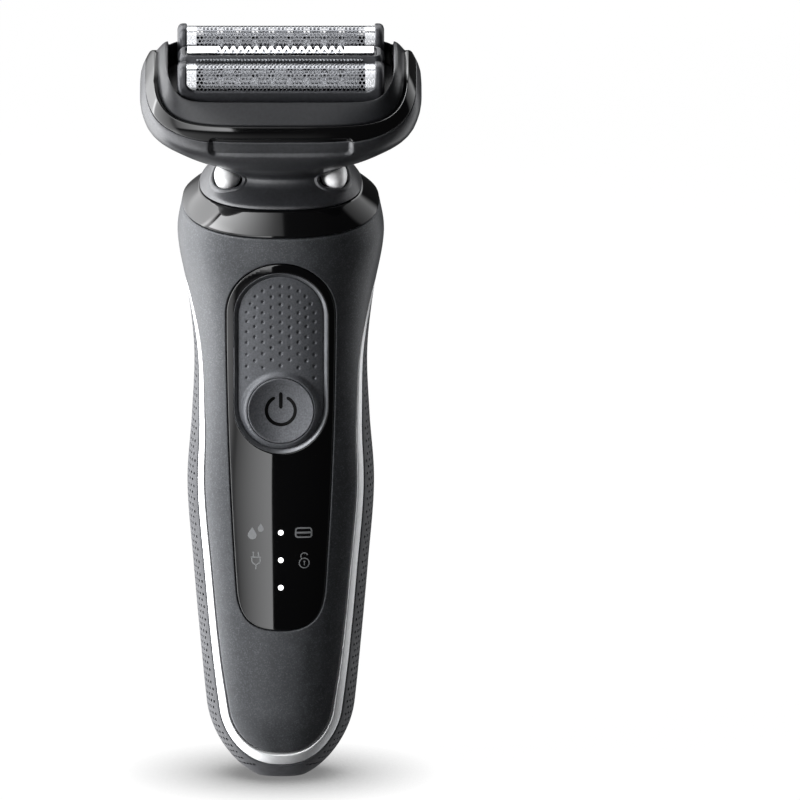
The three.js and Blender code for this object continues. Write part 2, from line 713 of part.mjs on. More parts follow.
function addDrive() {
  const pins = Object.entries(PIN_PLACES);
  const slots = pins.map(([, y]) => box(-2.5, 2.5, y - 1.3, y + 1.3, 15, 18));
  addPiece(head, 'head_deck', headPlate(15.6, 17.2, 2.6).subtract(union(slots)), darkPlastic);

  const forkY = -0.7; // the eccentric pin crosses the fork slightly in front of the head's axis
  const sockets = pins.map(([, y]) => post(0, y, 1.2, 12.9, 15, 12));
  const bridge = union([
    box(-7.2, 7.2, -9.6, 9.6, 12.4, 14.4),
    box(-2.2, 2.2, -1.8, 1.8, -4, 13),
    box(-4.6, 4.6, forkY - 5.3, forkY + 5.3, -9.2, -3.4),
  ]).subtract(box(-3.5, 3.5, forkY - 4.2, forkY + 4.2, -10, -5));
  addPiece(head, 'drive_bridge', bridge.subtract(union(sockets)), whiteAcetal);
  for (const [name, side] of [['left', -1], ['right', 1]]) {
    const leg = box(side * 6.9 - 0.25, side * 6.9 + 0.25, -3, 3, -1.7, 12.1);
    addPiece(head, `bridge_arm_${name}`, leg, whiteAcetal);
  }

  const boots = pins.map(([, y]) => post(0, y, 1.55, 17.5, 19.6, 16));
  const bootHoles = pins.map(([, y]) => post(0, y, 1.2, 17, 20, 12));
  const seal = union([box(-4.5, 4.5, -10.5, 10.5, 17.5, 18.3), ...boots]).subtract(union(bootHoles));
  addPiece(head, 'drive_seal', seal, greySilicone);
  for (const [name, y] of pins) {
    addPiece(head, `drive_pin_${name}`, post(0, y, PIN_RADIUS, 13.2, PIN_TOP, 14), steel);
  }
}

// ---------------------------------------------------------------- cassette

/** Rim of the opening around the foils, low at the front and high at the ears. */
function openingLoop(heightAt, grow) {
  const width = OPENING_HALF_WIDTH + grow;
  const depth = OPENING_HALF_DEPTH + grow;
  const place = (x, y) => new THREE.Vector3(x, y, heightAt(Math.abs(x / width), y / depth));
  return superellipse(width, depth, depth, OPENING_ROUNDNESS, HEAD_AROUND, place);
}

function rimHeight(share, along) {
  return 26.5 + 4.5 * share ** 12 * earShare(along);
}

/** Loop half-way up the bezel's slope, raised a little where the slope climbs into the ears. */
function crownLoop(low, high) {
  return low.map((point, i) => {
    const middle = point.clone().lerp(high[i], 0.5);
    middle.z += EAR_CROWN * THREE.MathUtils.smoothstep(middle.z, 25.5, 29.5);
    return middle;
  });
}

function addCassetteFrame() {
  const seamTop = (share) => seamHeight(share) + FIT;
  const steps = [0, 0.5, 1].map((share) => between(seamTop, shoulderHeight, share));
  const outer = steps.map((heightAt) => headLoop(heightAt));
  const inner = steps.map((heightAt) => headLoop(heightAt, SHELL_WALL)).reverse();
  addPiece(head, 'cassette_shell', loft([...outer, ...inner], true), glossBlack);

  const edgeInset = SHELL_WALL + FIT;
  const shoulder = headLoop(shoulderHeight, edgeInset);
  const rim = openingLoop(rimHeight, 0);
  const bezel = loft([
    headLoop((share, along) => shoulderHeight(share, along) - 1.2, edgeInset + 0.2),
    shoulder,
    crownLoop(shoulder, rim),
    rim,
    openingLoop(flat(21.1), 0),
    openingLoop(flat(21.1), 0.7),
  ], true);
  addPiece(head, 'cassette_bezel', bezel, satinGrey);

  const windows = Object.values(PIN_PLACES).map((y) => box(-3, 3, y - 1.9, y + 1.9, 19, 21));
  const lugs = [-1, 1].map((side) => box(side * 24 - 1.5, side * 24 + 1.5, -2.5, 2.5, 17.6, 19.5));
  const tray = union([headPlate(19.2, TRAY_TOP, 3), ...lugs]).subtract(union(windows));
  addPiece(head, 'cassette_tray', tray, darkPlastic);
}

/** Side-view arch band centred on (y, ARCH_HEIGHT). */
function archOutline(y, outerRadius, innerRadius) {
  const shape = new THREE.Shape();
  shape.moveTo(y + outerRadius, ARCH_HEIGHT);
  shape.absarc(y, ARCH_HEIGHT, outerRadius, 0, Math.PI);
  shape.lineTo(y - innerRadius, ARCH_HEIGHT);
  shape.absarc(y, ARCH_HEIGHT, innerRadius, Math.PI, 0, true);
  return shape;
}

/** Side-view outline of a holder's end cheek: a round top on a straight block. */
function cheekOutline(y, halfDepth, low, round) {
  const shape = new THREE.Shape();
  shape.moveTo(y - halfDepth, low);
  shape.lineTo(y + halfDepth, low);
  shape.lineTo(y + halfDepth, round);
  shape.absarc(y, round, halfDepth, 0, Math.PI);
  return shape;
}

function springPockets(y, top) {
  return union([-1, 1].map((side) => post(side * SPRING_X, y, 1.5, 22, top, 10)));
}

function addFoilUnit(name, y) {
  const holderLow = 23.2;
  const holderTop = 28.2;
  const cheekInner = FOIL_HALF_LENGTH + FIT;
  const depth = HOLDER_HALF_DEPTH;
  const cheeks = [-1, 1].map((side) => acrossPrism(
    cheekOutline(y, depth, holderLow, ARCH_HEIGHT),
    side < 0 ? -HOLDER_HALF_LENGTH : cheekInner,
    side < 0 ? -cheekInner : HOLDER_HALF_LENGTH,
    4,
  ));
  const block = planPrism(roundedRectangle(HOLDER_HALF_LENGTH, depth, 1.4, 0, y), holderLow, holderTop, 1);
  const hollow = box(-BLADE_ROOM, BLADE_ROOM, y - 3.6, y + 3.6, 20, 30);
  const corners = planPrism(roundedRectangle(HOLDER_HALF_LENGTH, depth, 1.4, 0, y), 20, 36, 1);
  const holder = union([block, ...cheeks]).intersect(corners).subtract(hollow);
  addPiece(head, `${name}_foil_holder`, holder.subtract(springPockets(y, 26.1)), satinGrey);

  const arch = archOutline(y, FOIL_RADIUS, FOIL_RADIUS - FOIL_THICKNESS);
  addPiece(head, `${name}_foil`, acrossPrism(arch, -FOIL_HALF_LENGTH, FOIL_HALF_LENGTH, 6), steel);

  const blades = acrossPrism(archOutline(y, CUTTER_RADIUS, 2.2), -CUTTER_HALF_LENGTH, CUTTER_HALF_LENGTH, 3);
  const gapCount = 8;
  const bladePitch = (2 * CUTTER_HALF_LENGTH) / (gapCount + 1);
  const gaps = [];
  for (let i = 1; i <= gapCount; i += 1) {
    const x = -CUTTER_HALF_LENGTH + i * bladePitch;
    gaps.push(box(x - 0.7, x + 0.7, y - 4, y + 4, ARCH_HEIGHT + 0.6, ARCH_HEIGHT + 5));
  }
  const carrier = union([
    box(-CUTTER_HALF_LENGTH, CUTTER_HALF_LENGTH, y - 2.9, y + 2.9, 26.6, ARCH_HEIGHT + 0.2),
    box(-4, 4, y - 2.2, y + 2.2, 23.6, 27),
  ]);
  const pinSlot = box(-1.2, 1.2, y - 1.2, y + 1.2, 20, 27.4);
  addPiece(head, `${name}_cutter`, blades.subtract(union(gaps)).add(carrier).subtract(pinSlot), steel);
  addSprings(name, y, 25.8);
}

function addSprings(name, y, top) {
  for (const [place, side] of [['left', -1], ['right', 1]]) {
    const bottom = TRAY_TOP + FIT;
    const spring = coilSpring(1, 0.2, top - bottom - 0.4, 4);
    spring.translate(side * SPRING_X, y, bottom);
    addPiece(head, `${name}_spring_${place}`, spring, steel);
  }
}

function addTrimmer() {
  const halfDepth = 3;
  const blank = planPrism(roundedRectangle(HOLDER_HALF_LENGTH, halfDepth, 1.2), 24.2, 30.6, 1);
  const hollow = box(-BLADE_ROOM, BLADE_ROOM, -2.3, 2.3, 23, 29.8);
  const bladeSlot = box(-BLADE_ROOM, BLADE_ROOM, -1.1, 1.1, 29, 32);
  const holder = blank.subtract(union([hollow, bladeSlot, springPockets(0, 27.1)]));
  addPiece(head, 'trimmer_holder', holder, satinGrey);

  const combLength = FOIL_HALF_LENGTH - 0.1;
  const toothedLength = 14;
  const comb = box(-combLength, combLength, -1.4, 1.4, 30.9, 31.8)
    .subtract(box(-BLADE_ROOM, BLADE_ROOM, -1.1, 1.1, 30, 31.5));
  const toothCount = 13;
  const notches = [];
  for (let i = 0; i < toothCount; i += 1) {
    const x = -toothedLength + ((2 * i + 1) * toothedLength) / toothCount;
    const side = i % 2 === 0 ? -1 : 1;
    notches.push(box(x - 0.5, x + 0.5, side * 1.05 - 0.65, side * 1.05 + 0.65, 30, 33));
  }
  addPiece(head, 'trimmer_comb', comb.subtract(union(notches)), satinSilver);

  const strip = box(-CUTTER_HALF_LENGTH, CUTTER_HALF_LENGTH, -0.8, 0.8, 26, 31.2);
  const block = box(-5, 5, -2, 2, 24.6, 27.8);
  const pinSlot = box(-1.2, 1.2, -1.2, 1.2, 20, 27.4);
  addPiece(head, 'trimmer_blade', strip.add(block).subtract(pinSlot), steel);
  addSprings('trimmer', 0, 26.8);
}

// ---------------------------------------------------------------- assembly

addHandleShells();
addControls();
addChassis();
addPower();
addChargingSocket();
addMotor();
addNeck();
addHeadBase();
addDrive();
addCassetteFrame();
addFoilUnit('front', -FOIL_PITCH);
addFoilUnit('rear', FOIL_PITCH);
addTrimmer();

export default shaver;
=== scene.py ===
import json
import math

import bmesh
import bpy
import numpy as np
from mathutils import Matrix, Vector


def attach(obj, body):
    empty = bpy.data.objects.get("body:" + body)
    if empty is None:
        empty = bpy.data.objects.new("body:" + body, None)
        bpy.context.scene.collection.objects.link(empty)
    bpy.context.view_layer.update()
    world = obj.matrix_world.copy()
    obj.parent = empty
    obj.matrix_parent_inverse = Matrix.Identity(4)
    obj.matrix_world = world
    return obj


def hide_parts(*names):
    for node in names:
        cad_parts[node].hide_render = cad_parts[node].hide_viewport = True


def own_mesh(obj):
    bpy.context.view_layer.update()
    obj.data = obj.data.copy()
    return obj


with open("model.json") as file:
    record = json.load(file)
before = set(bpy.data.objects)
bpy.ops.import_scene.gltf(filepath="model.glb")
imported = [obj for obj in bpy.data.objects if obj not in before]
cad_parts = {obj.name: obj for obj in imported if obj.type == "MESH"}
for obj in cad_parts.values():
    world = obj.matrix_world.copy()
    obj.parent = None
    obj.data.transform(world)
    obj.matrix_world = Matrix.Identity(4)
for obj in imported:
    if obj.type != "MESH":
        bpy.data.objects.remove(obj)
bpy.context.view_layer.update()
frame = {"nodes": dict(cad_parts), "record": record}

MM = 0.001

# ------------------------------------------------------------------ driving sizes, millimetres

# Handle sections: height, half width, depth of the front half, depth of the back half.
HANDLE_SECTIONS = np.array([
    [0, 14.0, 12.6, 11.8],
    [16, 16.1, 13.9, 13.4],
    [30, 17.5, 15.2, 15.4],
    [47, 19.0, 16.0, 16.6],
    [65, 20.3, 16.4, 17.2],
    [80, 19.3, 16.0, 16.4],
    [94, 18.8, 15.9, 15.6],
    [107, 20.1, 16.8, 15.6],
    [120.5, 22.4, 18.6, 16.8],
    [127.2, 21.4, 18.9, 16.8],
])
HANDLE_TOP = 127.2
HANDLE_ROUNDNESS = 2.4
CAP_HEIGHT = 16
CAP_RADIUS = 17.5
TOP_SLOPE = 0.255
SLOPE_START = 100

# Head outline in the head's own axes: height, half width, half depth.
HEAD_SECTIONS = np.array([
    [0.3, 17.6, 15.9],
    [0.9, 17.3, 15.2],
    [1.8, 16.6, 13.4],
    [2.5, 15.8, 11.8],
    [3.2, 14.9, 10.3],
    [4.5, 14.1, 9.3],
    [6, 15.2, 10.1],
    [7.5, 18, 11.8],
    [9.5, 22, 14.1],
    [12, 25, 16],
    [15, 28, 17.4],
    [18, 29.7, 18],
    [22, 30.5, 17.8],
    [26, 29.2, 16.2],
    [29.6, 27.3, 14.2],
])
HEAD_TILT = math.radians(19)
NECK_HEIGHT = 132.5
HEAD_UPPER_ROUNDNESS = 3.8
HEAD_RIM = 15  # below this height the head's loops are level
FOOT_TOP = 6  # below this height the head's outline bends towards the neck ring's plane
COLLAR_TILT = math.radians(10.3)
COLLAR_HEIGHT = 130.6
COLLAR_HALF_WIDTH = 17.8
COLLAR_HALF_DEPTH = 16.1
SHELL_LOWEST = 1.8

PAD_LOW = 84.4
PAD_HIGH = 104.4
PAD_RADIUS = 9.85
BUTTON_Z = 83.6
PAD_RECESS = 0.9
BUTTON_RADIUS = 7.3
COLLAR_Y = -15.6  # front of the collar around the button
GAP = 0.12  # visible gap between neighbouring shells
BAND_WIDTH = 1.95

FOIL_PITCH = 8.15
ARCH_HEIGHT = 28.5
FOIL_RADIUS = 3.8
FOIL_HALF_LENGTH = 20.3
FOIL_HOLES_HALF_LENGTH = 18.3
HOLDER_HALF_LENGTH = 22.4
HOLDER_HALF_DEPTH = 4.3

# Wall thicknesses of the hollow shells.
HOUSING_WALL = 1.3
BAND_WALL = 1.0
GRIP_WALL = 1.2
PANEL_WALL = 1.2
PAD_WALL = 1.1
HEAD_BASE_WALL = 0.8
CASSETTE_WALL = 0.95
HOLDER_WALL = 0.48
FOIL_WALL = 0.09

NODE_BODY = {n: b for b, nodes in frame["record"]["behaviour"]["bodies"].items() for n in nodes}
NODE_SLOT = {row["node"]: row["material_slot"] for row in frame["record"]["subparts"]}
HEAD_MATRIX = Matrix.Translation((0, 0, NECK_HEIGHT)) @ Matrix.Rotation(HEAD_TILT, 4, "X")
COLLAR_ROTATION = np.array(Matrix.Rotation(COLLAR_TILT, 3, "X"))


# ------------------------------------------------------------------ curves and sections

def smoothstep(value, low=0.0, high=1.0):
    t = np.clip((value - low) / (high - low), 0, 1)
    return t * t * (3 - 2 * t)


def section(table, height):
    """Smooth values of a section table's columns at each height (Hermite through its rows)."""
    rows = np.arange(len(table))
    low = table[np.maximum(rows - 1, 0)]
    high = table[np.minimum(rows + 1, len(table) - 1)]
    slopes = (high[:, 1:] - low[:, 1:]) / (high[:, :1] - low[:, :1])
    z = np.clip(height, table[0, 0], table[-1, 0])
    row = np.clip(np.searchsorted(table[:, 0], z) - 1, 0, len(table) - 2)
    span = (table[row + 1, 0] - table[row, 0])[:, None]
    t = (z - table[row, 0])[:, None] / span
    return (
        (2 * t**3 - 3 * t**2 + 1) * table[row, 1:]
        + (t**3 - 2 * t**2 + t) * span * slopes[row]
        + (3 * t**2 - 2 * t**3) * table[row + 1, 1:]
        + (t**3 - t**2) * span * slopes[row + 1]
    )


def power(value, exponent):
    return np.sign(value) * np.abs(value) ** exponent


def handle_sizes(height, inset):
    into = np.clip((CAP_HEIGHT - height) / CAP_RADIUS, 0, None)
    return section(HANDLE_SECTIONS, height) * np.sqrt(1 - into**2)[:, None] - inset


def lean(height, y):
    """The handle's upper loops rise towards the back."""
    return height + TOP_SLOPE * smoothstep(height, SLOPE_START, HANDLE_TOP) * y


def handle_point(angle, height, inset=0.0):
    sizes = handle_sizes(height, inset)
    x = sizes[:, 0] * power(np.cos(angle), 2 / HANDLE_ROUNDNESS)
    depth = np.where(np.sin(angle) < 0, sizes[:, 1], sizes[:, 2])
    y = depth * power(np.sin(angle), 2 / HANDLE_ROUNDNESS)
    return np.stack([x, y, lean(height, y)], axis=1)


def front_point(x, z, inset=0.0):
    """Point on the front half of the handle's surface at a place in the front view."""
    height = z
    for _ in range(5):
        sizes = handle_sizes(height, inset)
        share = np.clip(np.abs(x) / sizes[:, 0], 0, 1)
        y = -sizes[:, 1] * (1 - share**HANDLE_ROUNDNESS) ** (1 / HANDLE_ROUNDNESS)
        height = z - (lean(height, y) - height)
    return np.stack([x, y, z], axis=1)


def head_roundness(height):
    return 2.5 + (HEAD_UPPER_ROUNDNESS - 2.5) * smoothstep(height, 8, 18)


def seam_height(share):
    return 18.3 + 7 * share**5


def ear_share(along):
    """The side ears keep their full height at the front and fall away towards the back."""
    return 1 - smoothstep(along, 0.28, 0.9)


def shoulder_height(share, along):
    return np.maximum(22.5 + 6.6 * share**6.8 * ear_share(along), seam_height(share) + SHELL_LOWEST)


def rim_height(share, along):
    return 26.5 + 4.5 * share**12 * ear_share(along)


def foot_drop(y, height):
    """How far the head's outline drops so that its foot lies in the neck ring's plane."""
    slope = math.tan(HEAD_TILT - COLLAR_TILT)
    gap = (NECK_HEIGHT - COLLAR_HEIGHT) * math.cos(COLLAR_TILT)
    return (gap + slope * y) * (1 - smoothstep(height, HEAD_SECTIONS[0, 0], FOOT_TOP))


def head_loop(angle, height_at, inset=0.0, lift=0.0):
    """Loop on the head's outline; height_at takes |x| / half width and y / half depth."""
    cosine, sine = np.cos(angle), np.sin(angle)
    guess = height_at(np.abs(cosine) ** (2 / HEAD_UPPER_ROUNDNESS), sine)
    exponent = 2 / head_roundness(guess)
    across = power(cosine, exponent)
    along = power(sine, exponent)
    height = height_at(np.abs(across), along)
    sizes = section(HEAD_SECTIONS, height) - inset
    y = sizes[:, 1] * along
    return np.stack([sizes[:, 0] * across, y, height + lift - foot_drop(y, height + lift)], axis=1)


def normals_of(place, first, second, step=1e-3):
    """Unit normals of a surface place(first, second), from small steps both ways."""
    along_first = place(first + step, second) - place(first - step, second)
    along_second = place(first, second + step) - place(first, second - step)
    normal = np.cross(along_first, along_second)
    return normal / np.maximum(np.linalg.norm(normal, axis=1, keepdims=True), 1e-12)


# ------------------------------------------------------------------ distance fields

def polyline_distance(px, py, line):
    """Distance to a polyline and the side of it (positive to the left of its direction)."""
    start, step = line[:-1], np.diff(line, axis=0)
    best = np.full(len(px), np.inf)
    sign = np.ones(len(px))
    for (ax, ay), (dx, dy) in zip(start, step):
        t = np.clip(((px - ax) * dx + (py - ay) * dy) / (dx * dx + dy * dy), 0, 1)
        ex, ey = px - ax - t * dx, py - ay - t * dy
        distance = np.hypot(ex, ey)
        nearer = distance < best
        best[nearer] = distance[nearer]
        sign[nearer] = np.sign(dx * (py - ay) - dy * (px - ax))[nearer]
    return best * np.where(sign == 0, 1, sign)


def spline(points, count):
    """Smooth curve through a few points: uniform Catmull-Rom, as in the CAD model."""
    points = np.array(points, float)
    result = []
    for t in np.linspace(0, 1, count) * (len(points) - 1):
        i = min(int(t), len(points) - 2)
        w = t - i
        p0 = points[i] if i == 0 else points[i - 1]
        p1, p2 = points[i], points[i + 1]
        p3 = points[i + 1] if i + 2 > len(points) - 1 else points[i + 2]
        v0, v1 = (p2 - p0) / 2, (p3 - p1) / 2
        cubic = 2 * p1 - 2 * p2 + v0 + v1
        square = -3 * p1 + 3 * p2 - 2 * v0 - v1
        result.append(cubic * w**3 + square * w**2 + v0 * w + p1)
    return np.array(result)


PARTING_LINE = spline([
    (-10.7, -5), (-11.2, 50), (-10.6, 72), (-8.8, 88), (-7.2, 100),
    (-5, 107), (-1, 112), (4.5, 117), (11, 121.5), (20, 124),
], 90)


def behind_parting(points):
    """Distance behind the parting line in the side view, negative in front of it."""
    return -polyline_distance(points[:, 1], points[:, 2], PARTING_LINE)


def bezier(p0, p1, p2, p3, count):
    t = np.linspace(0, 1, count, endpoint=False)[:, None]
    p0, p1, p2, p3 = (np.array(p, float) for p in (p0, p1, p2, p3))
    return (1 - t) ** 3 * p0 + 3 * t * (1 - t) ** 2 * p1 + 3 * t**2 * (1 - t) * p2 + t**3 * p3


def panel_outline():
    """Tongue-shaped outline of the display panel in the front view, counter-clockwise."""
    low, high, side = 34.7, 104.8, 11.85
    right = [
        bezier((0, low), (6.2, low), (9, 37), (9.6, 43.5), 24),
        bezier((9.6, 43.5), (10.6, 58), (side, 82), (side, high), 40),
    ]
    turn = np.linspace(0, math.pi, 60, endpoint=False)
    arch = np.stack([side * np.cos(turn), high + side * np.sin(turn)], axis=1)
    left = [
        bezier((-side, high), (-side, 82), (-10.6, 58), (-9.6, 43.5), 40),
        bezier((-9.6, 43.5), (-9, 37), (-6.2, low), (0, low), 24),
    ]
    return np.concatenate([*right, arch, *left, [[0, low]]])


PANEL_OUTLINE = panel_outline()


def inside_panel(points):
    return polyline_distance(points[:, 0], points[:, 2], PANEL_OUTLINE)


def inside_slot(points, radius=PAD_RADIUS):
    """Distance inside the upright slot that holds the thumb pad."""
    z = np.clip(points[:, 2], PAD_LOW, PAD_HIGH)
    return radius - np.hypot(points[:, 0], points[:, 2] - z)


def rounded_box(px, py, half_x, half_y, radius):
    """Distance inside a rounded rectangle centred on zero."""
    qx, qy = np.abs(px) - half_x + radius, np.abs(py) - half_y + radius
    outside = np.hypot(np.maximum(qx, 0), np.maximum(qy, 0))
    return radius - outside - np.minimum(np.maximum(qx, qy), 0)


# ------------------------------------------------------------------ sheets of polygons

class Sheet:
    """Polygons with a position, an outward normal and a depth below the surface at each point."""

    def __init__(self, points, normals, faces, depth=None):
        self.points = np.asarray(points, float)
        self.normals = np.asarray(normals, float)
        self.depth = np.zeros(len(points)) if depth is None else np.asarray(depth, float)
        self.faces = faces

    def slice(self, field, level=0.0):
        """Splits every polygon that the level line of a field crosses."""
        value = field(self.points) - level
        side = (value > 0).tolist()
        cuts = {}
        pairs = []
        shares = []
        faces = []
        first_new = len(self.points)
        for face in self.faces:
            signs = [side[i] for i in face]
            if all(signs) or not any(signs):
                faces.append(face)
                continue
            parts = {True: [], False: []}
            for k, a in enumerate(face):
                b = face[k + 1 - len(face)]
                parts[side[a]].append(a)
                if side[a] == side[b]:
                    continue
                key = (a, b) if a < b else (b, a)
                if key not in cuts:
                    cuts[key] = first_new + len(pairs)
                    share = value[key[0]] / (value[key[0]] - value[key[1]])
                    pairs.append(key)
                    shares.append(min(max(share, 0.02), 0.98))
                parts[True].append(cuts[key])
                parts[False].append(cuts[key])
            faces.extend(tuple(part) for part in parts.values())
        if pairs:
            a, b = np.array(pairs).T
            t = np.array(shares)[:, None]
            normals = self.normals[a] * (1 - t) + self.normals[b] * t
            normals /= np.maximum(np.linalg.norm(normals, axis=1, keepdims=True), 1e-12)
            self.points = np.concatenate([self.points, self.points[a] * (1 - t) + self.points[b] * t])
            self.depth = np.concatenate([self.depth, self.depth[a] * (1 - t[:, 0]) + self.depth[b] * t[:, 0]])
            self.normals = np.concatenate([self.normals, normals])
        self.faces = faces

    def keep(self, field):
        """Drops the polygons where the field is negative."""
        value = field(self.points).tolist()
        self.faces = [face for face in self.faces if sum(value[i] for i in face) > 0]
        self.drop_unused()

    def drop_unused(self):
        """Drops the points that no polygon uses."""
        used = np.unique(np.concatenate([np.array(face) for face in self.faces]))
        index = np.full(len(self.points), -1)
        index[used] = np.arange(len(used))
        index = index.tolist()
        self.points, self.normals, self.depth = self.points[used], self.normals[used], self.depth[used]
        self.faces = [tuple(index[i] for i in face) for face in self.faces]

    def trim(self, field, radius):
        """Cuts the sheet where a field is zero and rounds the new edge over a radius."""
        for share in (0, 0.13, 0.4, 0.7, 1):
            self.slice(field, share * radius)
        self.keep(field)
        distance = np.clip(field(self.points), 0, radius)
        self.depth += radius - np.sqrt(radius**2 - (radius - distance) ** 2)

    def emboss(self, field, levels, depth_at):
        """Adds a depth that depends on a field, after slicing at its levels."""
        for level in levels:
            self.slice(field, level)
        self.depth += depth_at(field(self.points))

    def front(self):
        return self.points - self.normals * self.depth[:, None]

    def thick(self, thickness):
        """Vertices and faces of a closed shell that reaches inwards from the sheet."""
        count = len(self.points)
        back = self.points - self.normals * thickness
        once = {}
        for face in self.faces:
            for k, a in enumerate(face):
                b = face[k + 1 - len(face)]
                if (b, a) in once:
                    del once[(b, a)]
                else:
                    once[(a, b)] = True
        rim = [(b, a, a + count, b + count) for a, b in once]
        inner = [tuple(i + count for i in reversed(face)) for face in self.faces]
        return np.concatenate([self.front(), back]), self.faces + inner + rim


def grid_faces(rows, columns, wrap=False):
    """Quads of a grid whose points run along a row first."""
    faces = []
    for r in range(rows - 1):
        for c in range(columns if wrap else columns - 1):
            d = (c + 1) % columns
            faces.append((r * columns + c, r * columns + d, (r + 1) * columns + d, (r + 1) * columns + c))
    return faces


def surface_sheet(place, firsts, seconds, wrap=False):
    """Sheet over a grid of two parameters; firsts run along a row."""
    first, second = np.meshgrid(firsts, seconds)
    first, second = first.ravel(), second.ravel()
    faces = grid_faces(len(seconds), len(firsts), wrap)
    return Sheet(place(first, second), normals_of(place, first, second), faces)


def loft(loops, ring=False):
    """Closed body through a stack of loops; a ring joins its last loop to its first."""
    count = len(loops[0])
    faces = grid_faces(len(loops), count, wrap=True)
    last = (len(loops) - 1) * count
    if ring:
        faces += [(last + c, last + (c + 1) % count, (c + 1) % count, c) for c in range(count)]
    else:
        faces += [tuple(range(count - 1, -1, -1)), tuple(range(last, last + count))]
    return np.concatenate(loops), faces


def joined_rows(rows):
    """Points and faces of a band of point rows, its last row joined to its first."""
    count = len(rows[0])
    faces = []
    for r in range(len(rows)):
        s = (r + 1) % len(rows)
        for c in range(count - 1):
            faces.append((r * count + c, r * count + c + 1, s * count + c + 1, s * count + c))
    return np.concatenate(rows), faces


def rounded_loops(corners, radii, steps=4):
    """Replaces each corner loop that has a radius by a few loops along a rounded corner."""
    result = []
    for i, (corner, radius) in enumerate(zip(corners, radii)):
        if radius == 0:
            result.append(corner)
            continue
        ends = []
        for other in (corners[i - 1], corners[(i + 1) % len(corners)]):
            way = other - corner
            length = np.linalg.norm(way, axis=1, keepdims=True)
            ends.append(corner + way / np.maximum(length, 1e-9) * np.minimum(radius, 0.48 * length))
        for t in np.linspace(0, 1, steps + 1):
            result.append((1 - t) ** 2 * ends[0] + 2 * t * (1 - t) * corner + t**2 * ends[1])
    return result


# ------------------------------------------------------------------ objects

def make_object(name, points, faces, material, matrix=None, flat_angle=38):
    """Mesh object from millimetre points; faces are smooth up to flat_angle degrees."""
    points = np.asarray(points, float)
    if matrix is not None:
        rotation = np.array(matrix.to_3x3())
        points = points @ rotation.T + np.array(matrix.translation)
    mesh = bpy.data.meshes.new(name)
    mesh.from_pydata((points * MM).tolist(), [], faces)
    bm = bmesh.new()
    bm.from_mesh(mesh)
    bmesh.ops.remove_doubles(bm, verts=bm.verts, dist=2e-7)
    bmesh.ops.recalc_face_normals(bm, faces=bm.faces)
    bm.to_mesh(mesh)
    bm.free()
    mesh.materials.append(material)
    mesh.shade_smooth()
    mesh.set_sharp_from_angle(angle=math.radians(flat_angle))
    obj = bpy.data.objects.new(name, mesh)
    bpy.context.scene.collection.objects.link(obj)
    return obj


def stand_for(obj, node):
    """A finished piece takes the place of a CAD node and rides on its body."""
    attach(obj, NODE_BODY[node])
    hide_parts(node)


def belongs(obj, body):
    """A piece that no CAD node stands for rides on a body."""
    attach(obj, body)


def add_bevel(obj, width, segments):
    bevel = obj.modifiers.new("rounded_edges", "BEVEL")
    bevel.width = width * MM
    bevel.segments = segments
    bevel.limit_method = "ANGLE"
    bevel.angle_limit = math.radians(30)
    bevel.harden_normals = False


# ------------------------------------------------------------------ materials

class Nodes:
    """Small helper for building a node material."""

    def __init__(self, name):
        self.material = bpy.data.materials.new(name)
        self.material.use_nodes = True
        self.tree = self.material.node_tree
        self.shader = self.tree.nodes["Principled BSDF"]
        self.place = self.add("ShaderNodeTexCoord").outputs["Object"]

    def add(self, kind, **settings):
        node = self.tree.nodes.new(kind)
        for key, value in settings.items():
            setattr(node, key, value)
        return node

    def link(self, source, target):
        if isinstance(source, (int, float, tuple)):
            target.default_value = source
        else:
            self.tree.links.new(source, target)

    def texture(self, kind, scale, stretch=(1, 1, 1)):
        mapping = self.add("ShaderNodeMapping")
        self.link(self.place, mapping.inputs["Vector"])
        mapping.inputs["Scale"].default_value = stretch
        node = self.add(kind)
        self.link(mapping.outputs[0], node.inputs["Vector"])
        node.inputs["Scale"].default_value = scale
        return node

    def noise(self, scale, detail=2.0, stretch=(1, 1, 1)):
        node = self.texture("ShaderNodeTexNoise", scale, stretch)
        node.inputs["Detail"].default_value = detail
        return node.outputs["Fac"]

    def cells(self, scale):
        return self.texture("ShaderNodeTexVoronoi", scale)

    def spread(self, value, low, high, start=0.0, end=1.0):
        """Maps a texture value from [start, end] to [low, high]."""
        node = self.add("ShaderNodeMapRange")
        sources = {"Value": value, "From Min": start, "From Max": end, "To Min": low, "To Max": high}
        for name, source in sources.items():
            self.link(source, node.inputs[name])
        return node.outputs["Result"]

    def shades(self, texture, colour, contrast):
        """The colour, darker where the texture is low and lighter where it is high."""
        dark = tuple(c * (1 - contrast) for c in colour)
        light = tuple(min(1, c * (1 + contrast)) for c in colour)
        return self.mix(self.spread(texture, 0, 1, 0.3, 0.7), dark, light)

    def mix(self, factor, low, high):
        node = self.add("ShaderNodeMix", data_type="RGBA")
        self.link(factor, node.inputs[0])
        for value, target in ((low, node.inputs[6]), (high, node.inputs[7])):
            self.link((*value, 1) if isinstance(value, tuple) else value, target)
        return node.outputs[2]

    def bump(self, height, strength, distance_mm):
        node = self.add("ShaderNodeBump")
        self.link(height, node.inputs["Height"])
        node.inputs["Strength"].default_value = strength
        node.inputs["Distance"].default_value = distance_mm * MM
        self.link(node.outputs[0], self.shader.inputs["Normal"])

    def surface(self, colour, roughness, metallic=0.0, specular=0.5):
        self.link((*colour, 1) if isinstance(colour, tuple) else colour, self.shader.inputs["Base Color"])
        self.link(roughness, self.shader.inputs["Roughness"])
        self.link(metallic, self.shader.inputs["Metallic"])
        self.link(specular, self.shader.inputs["Specular IOR Level"])


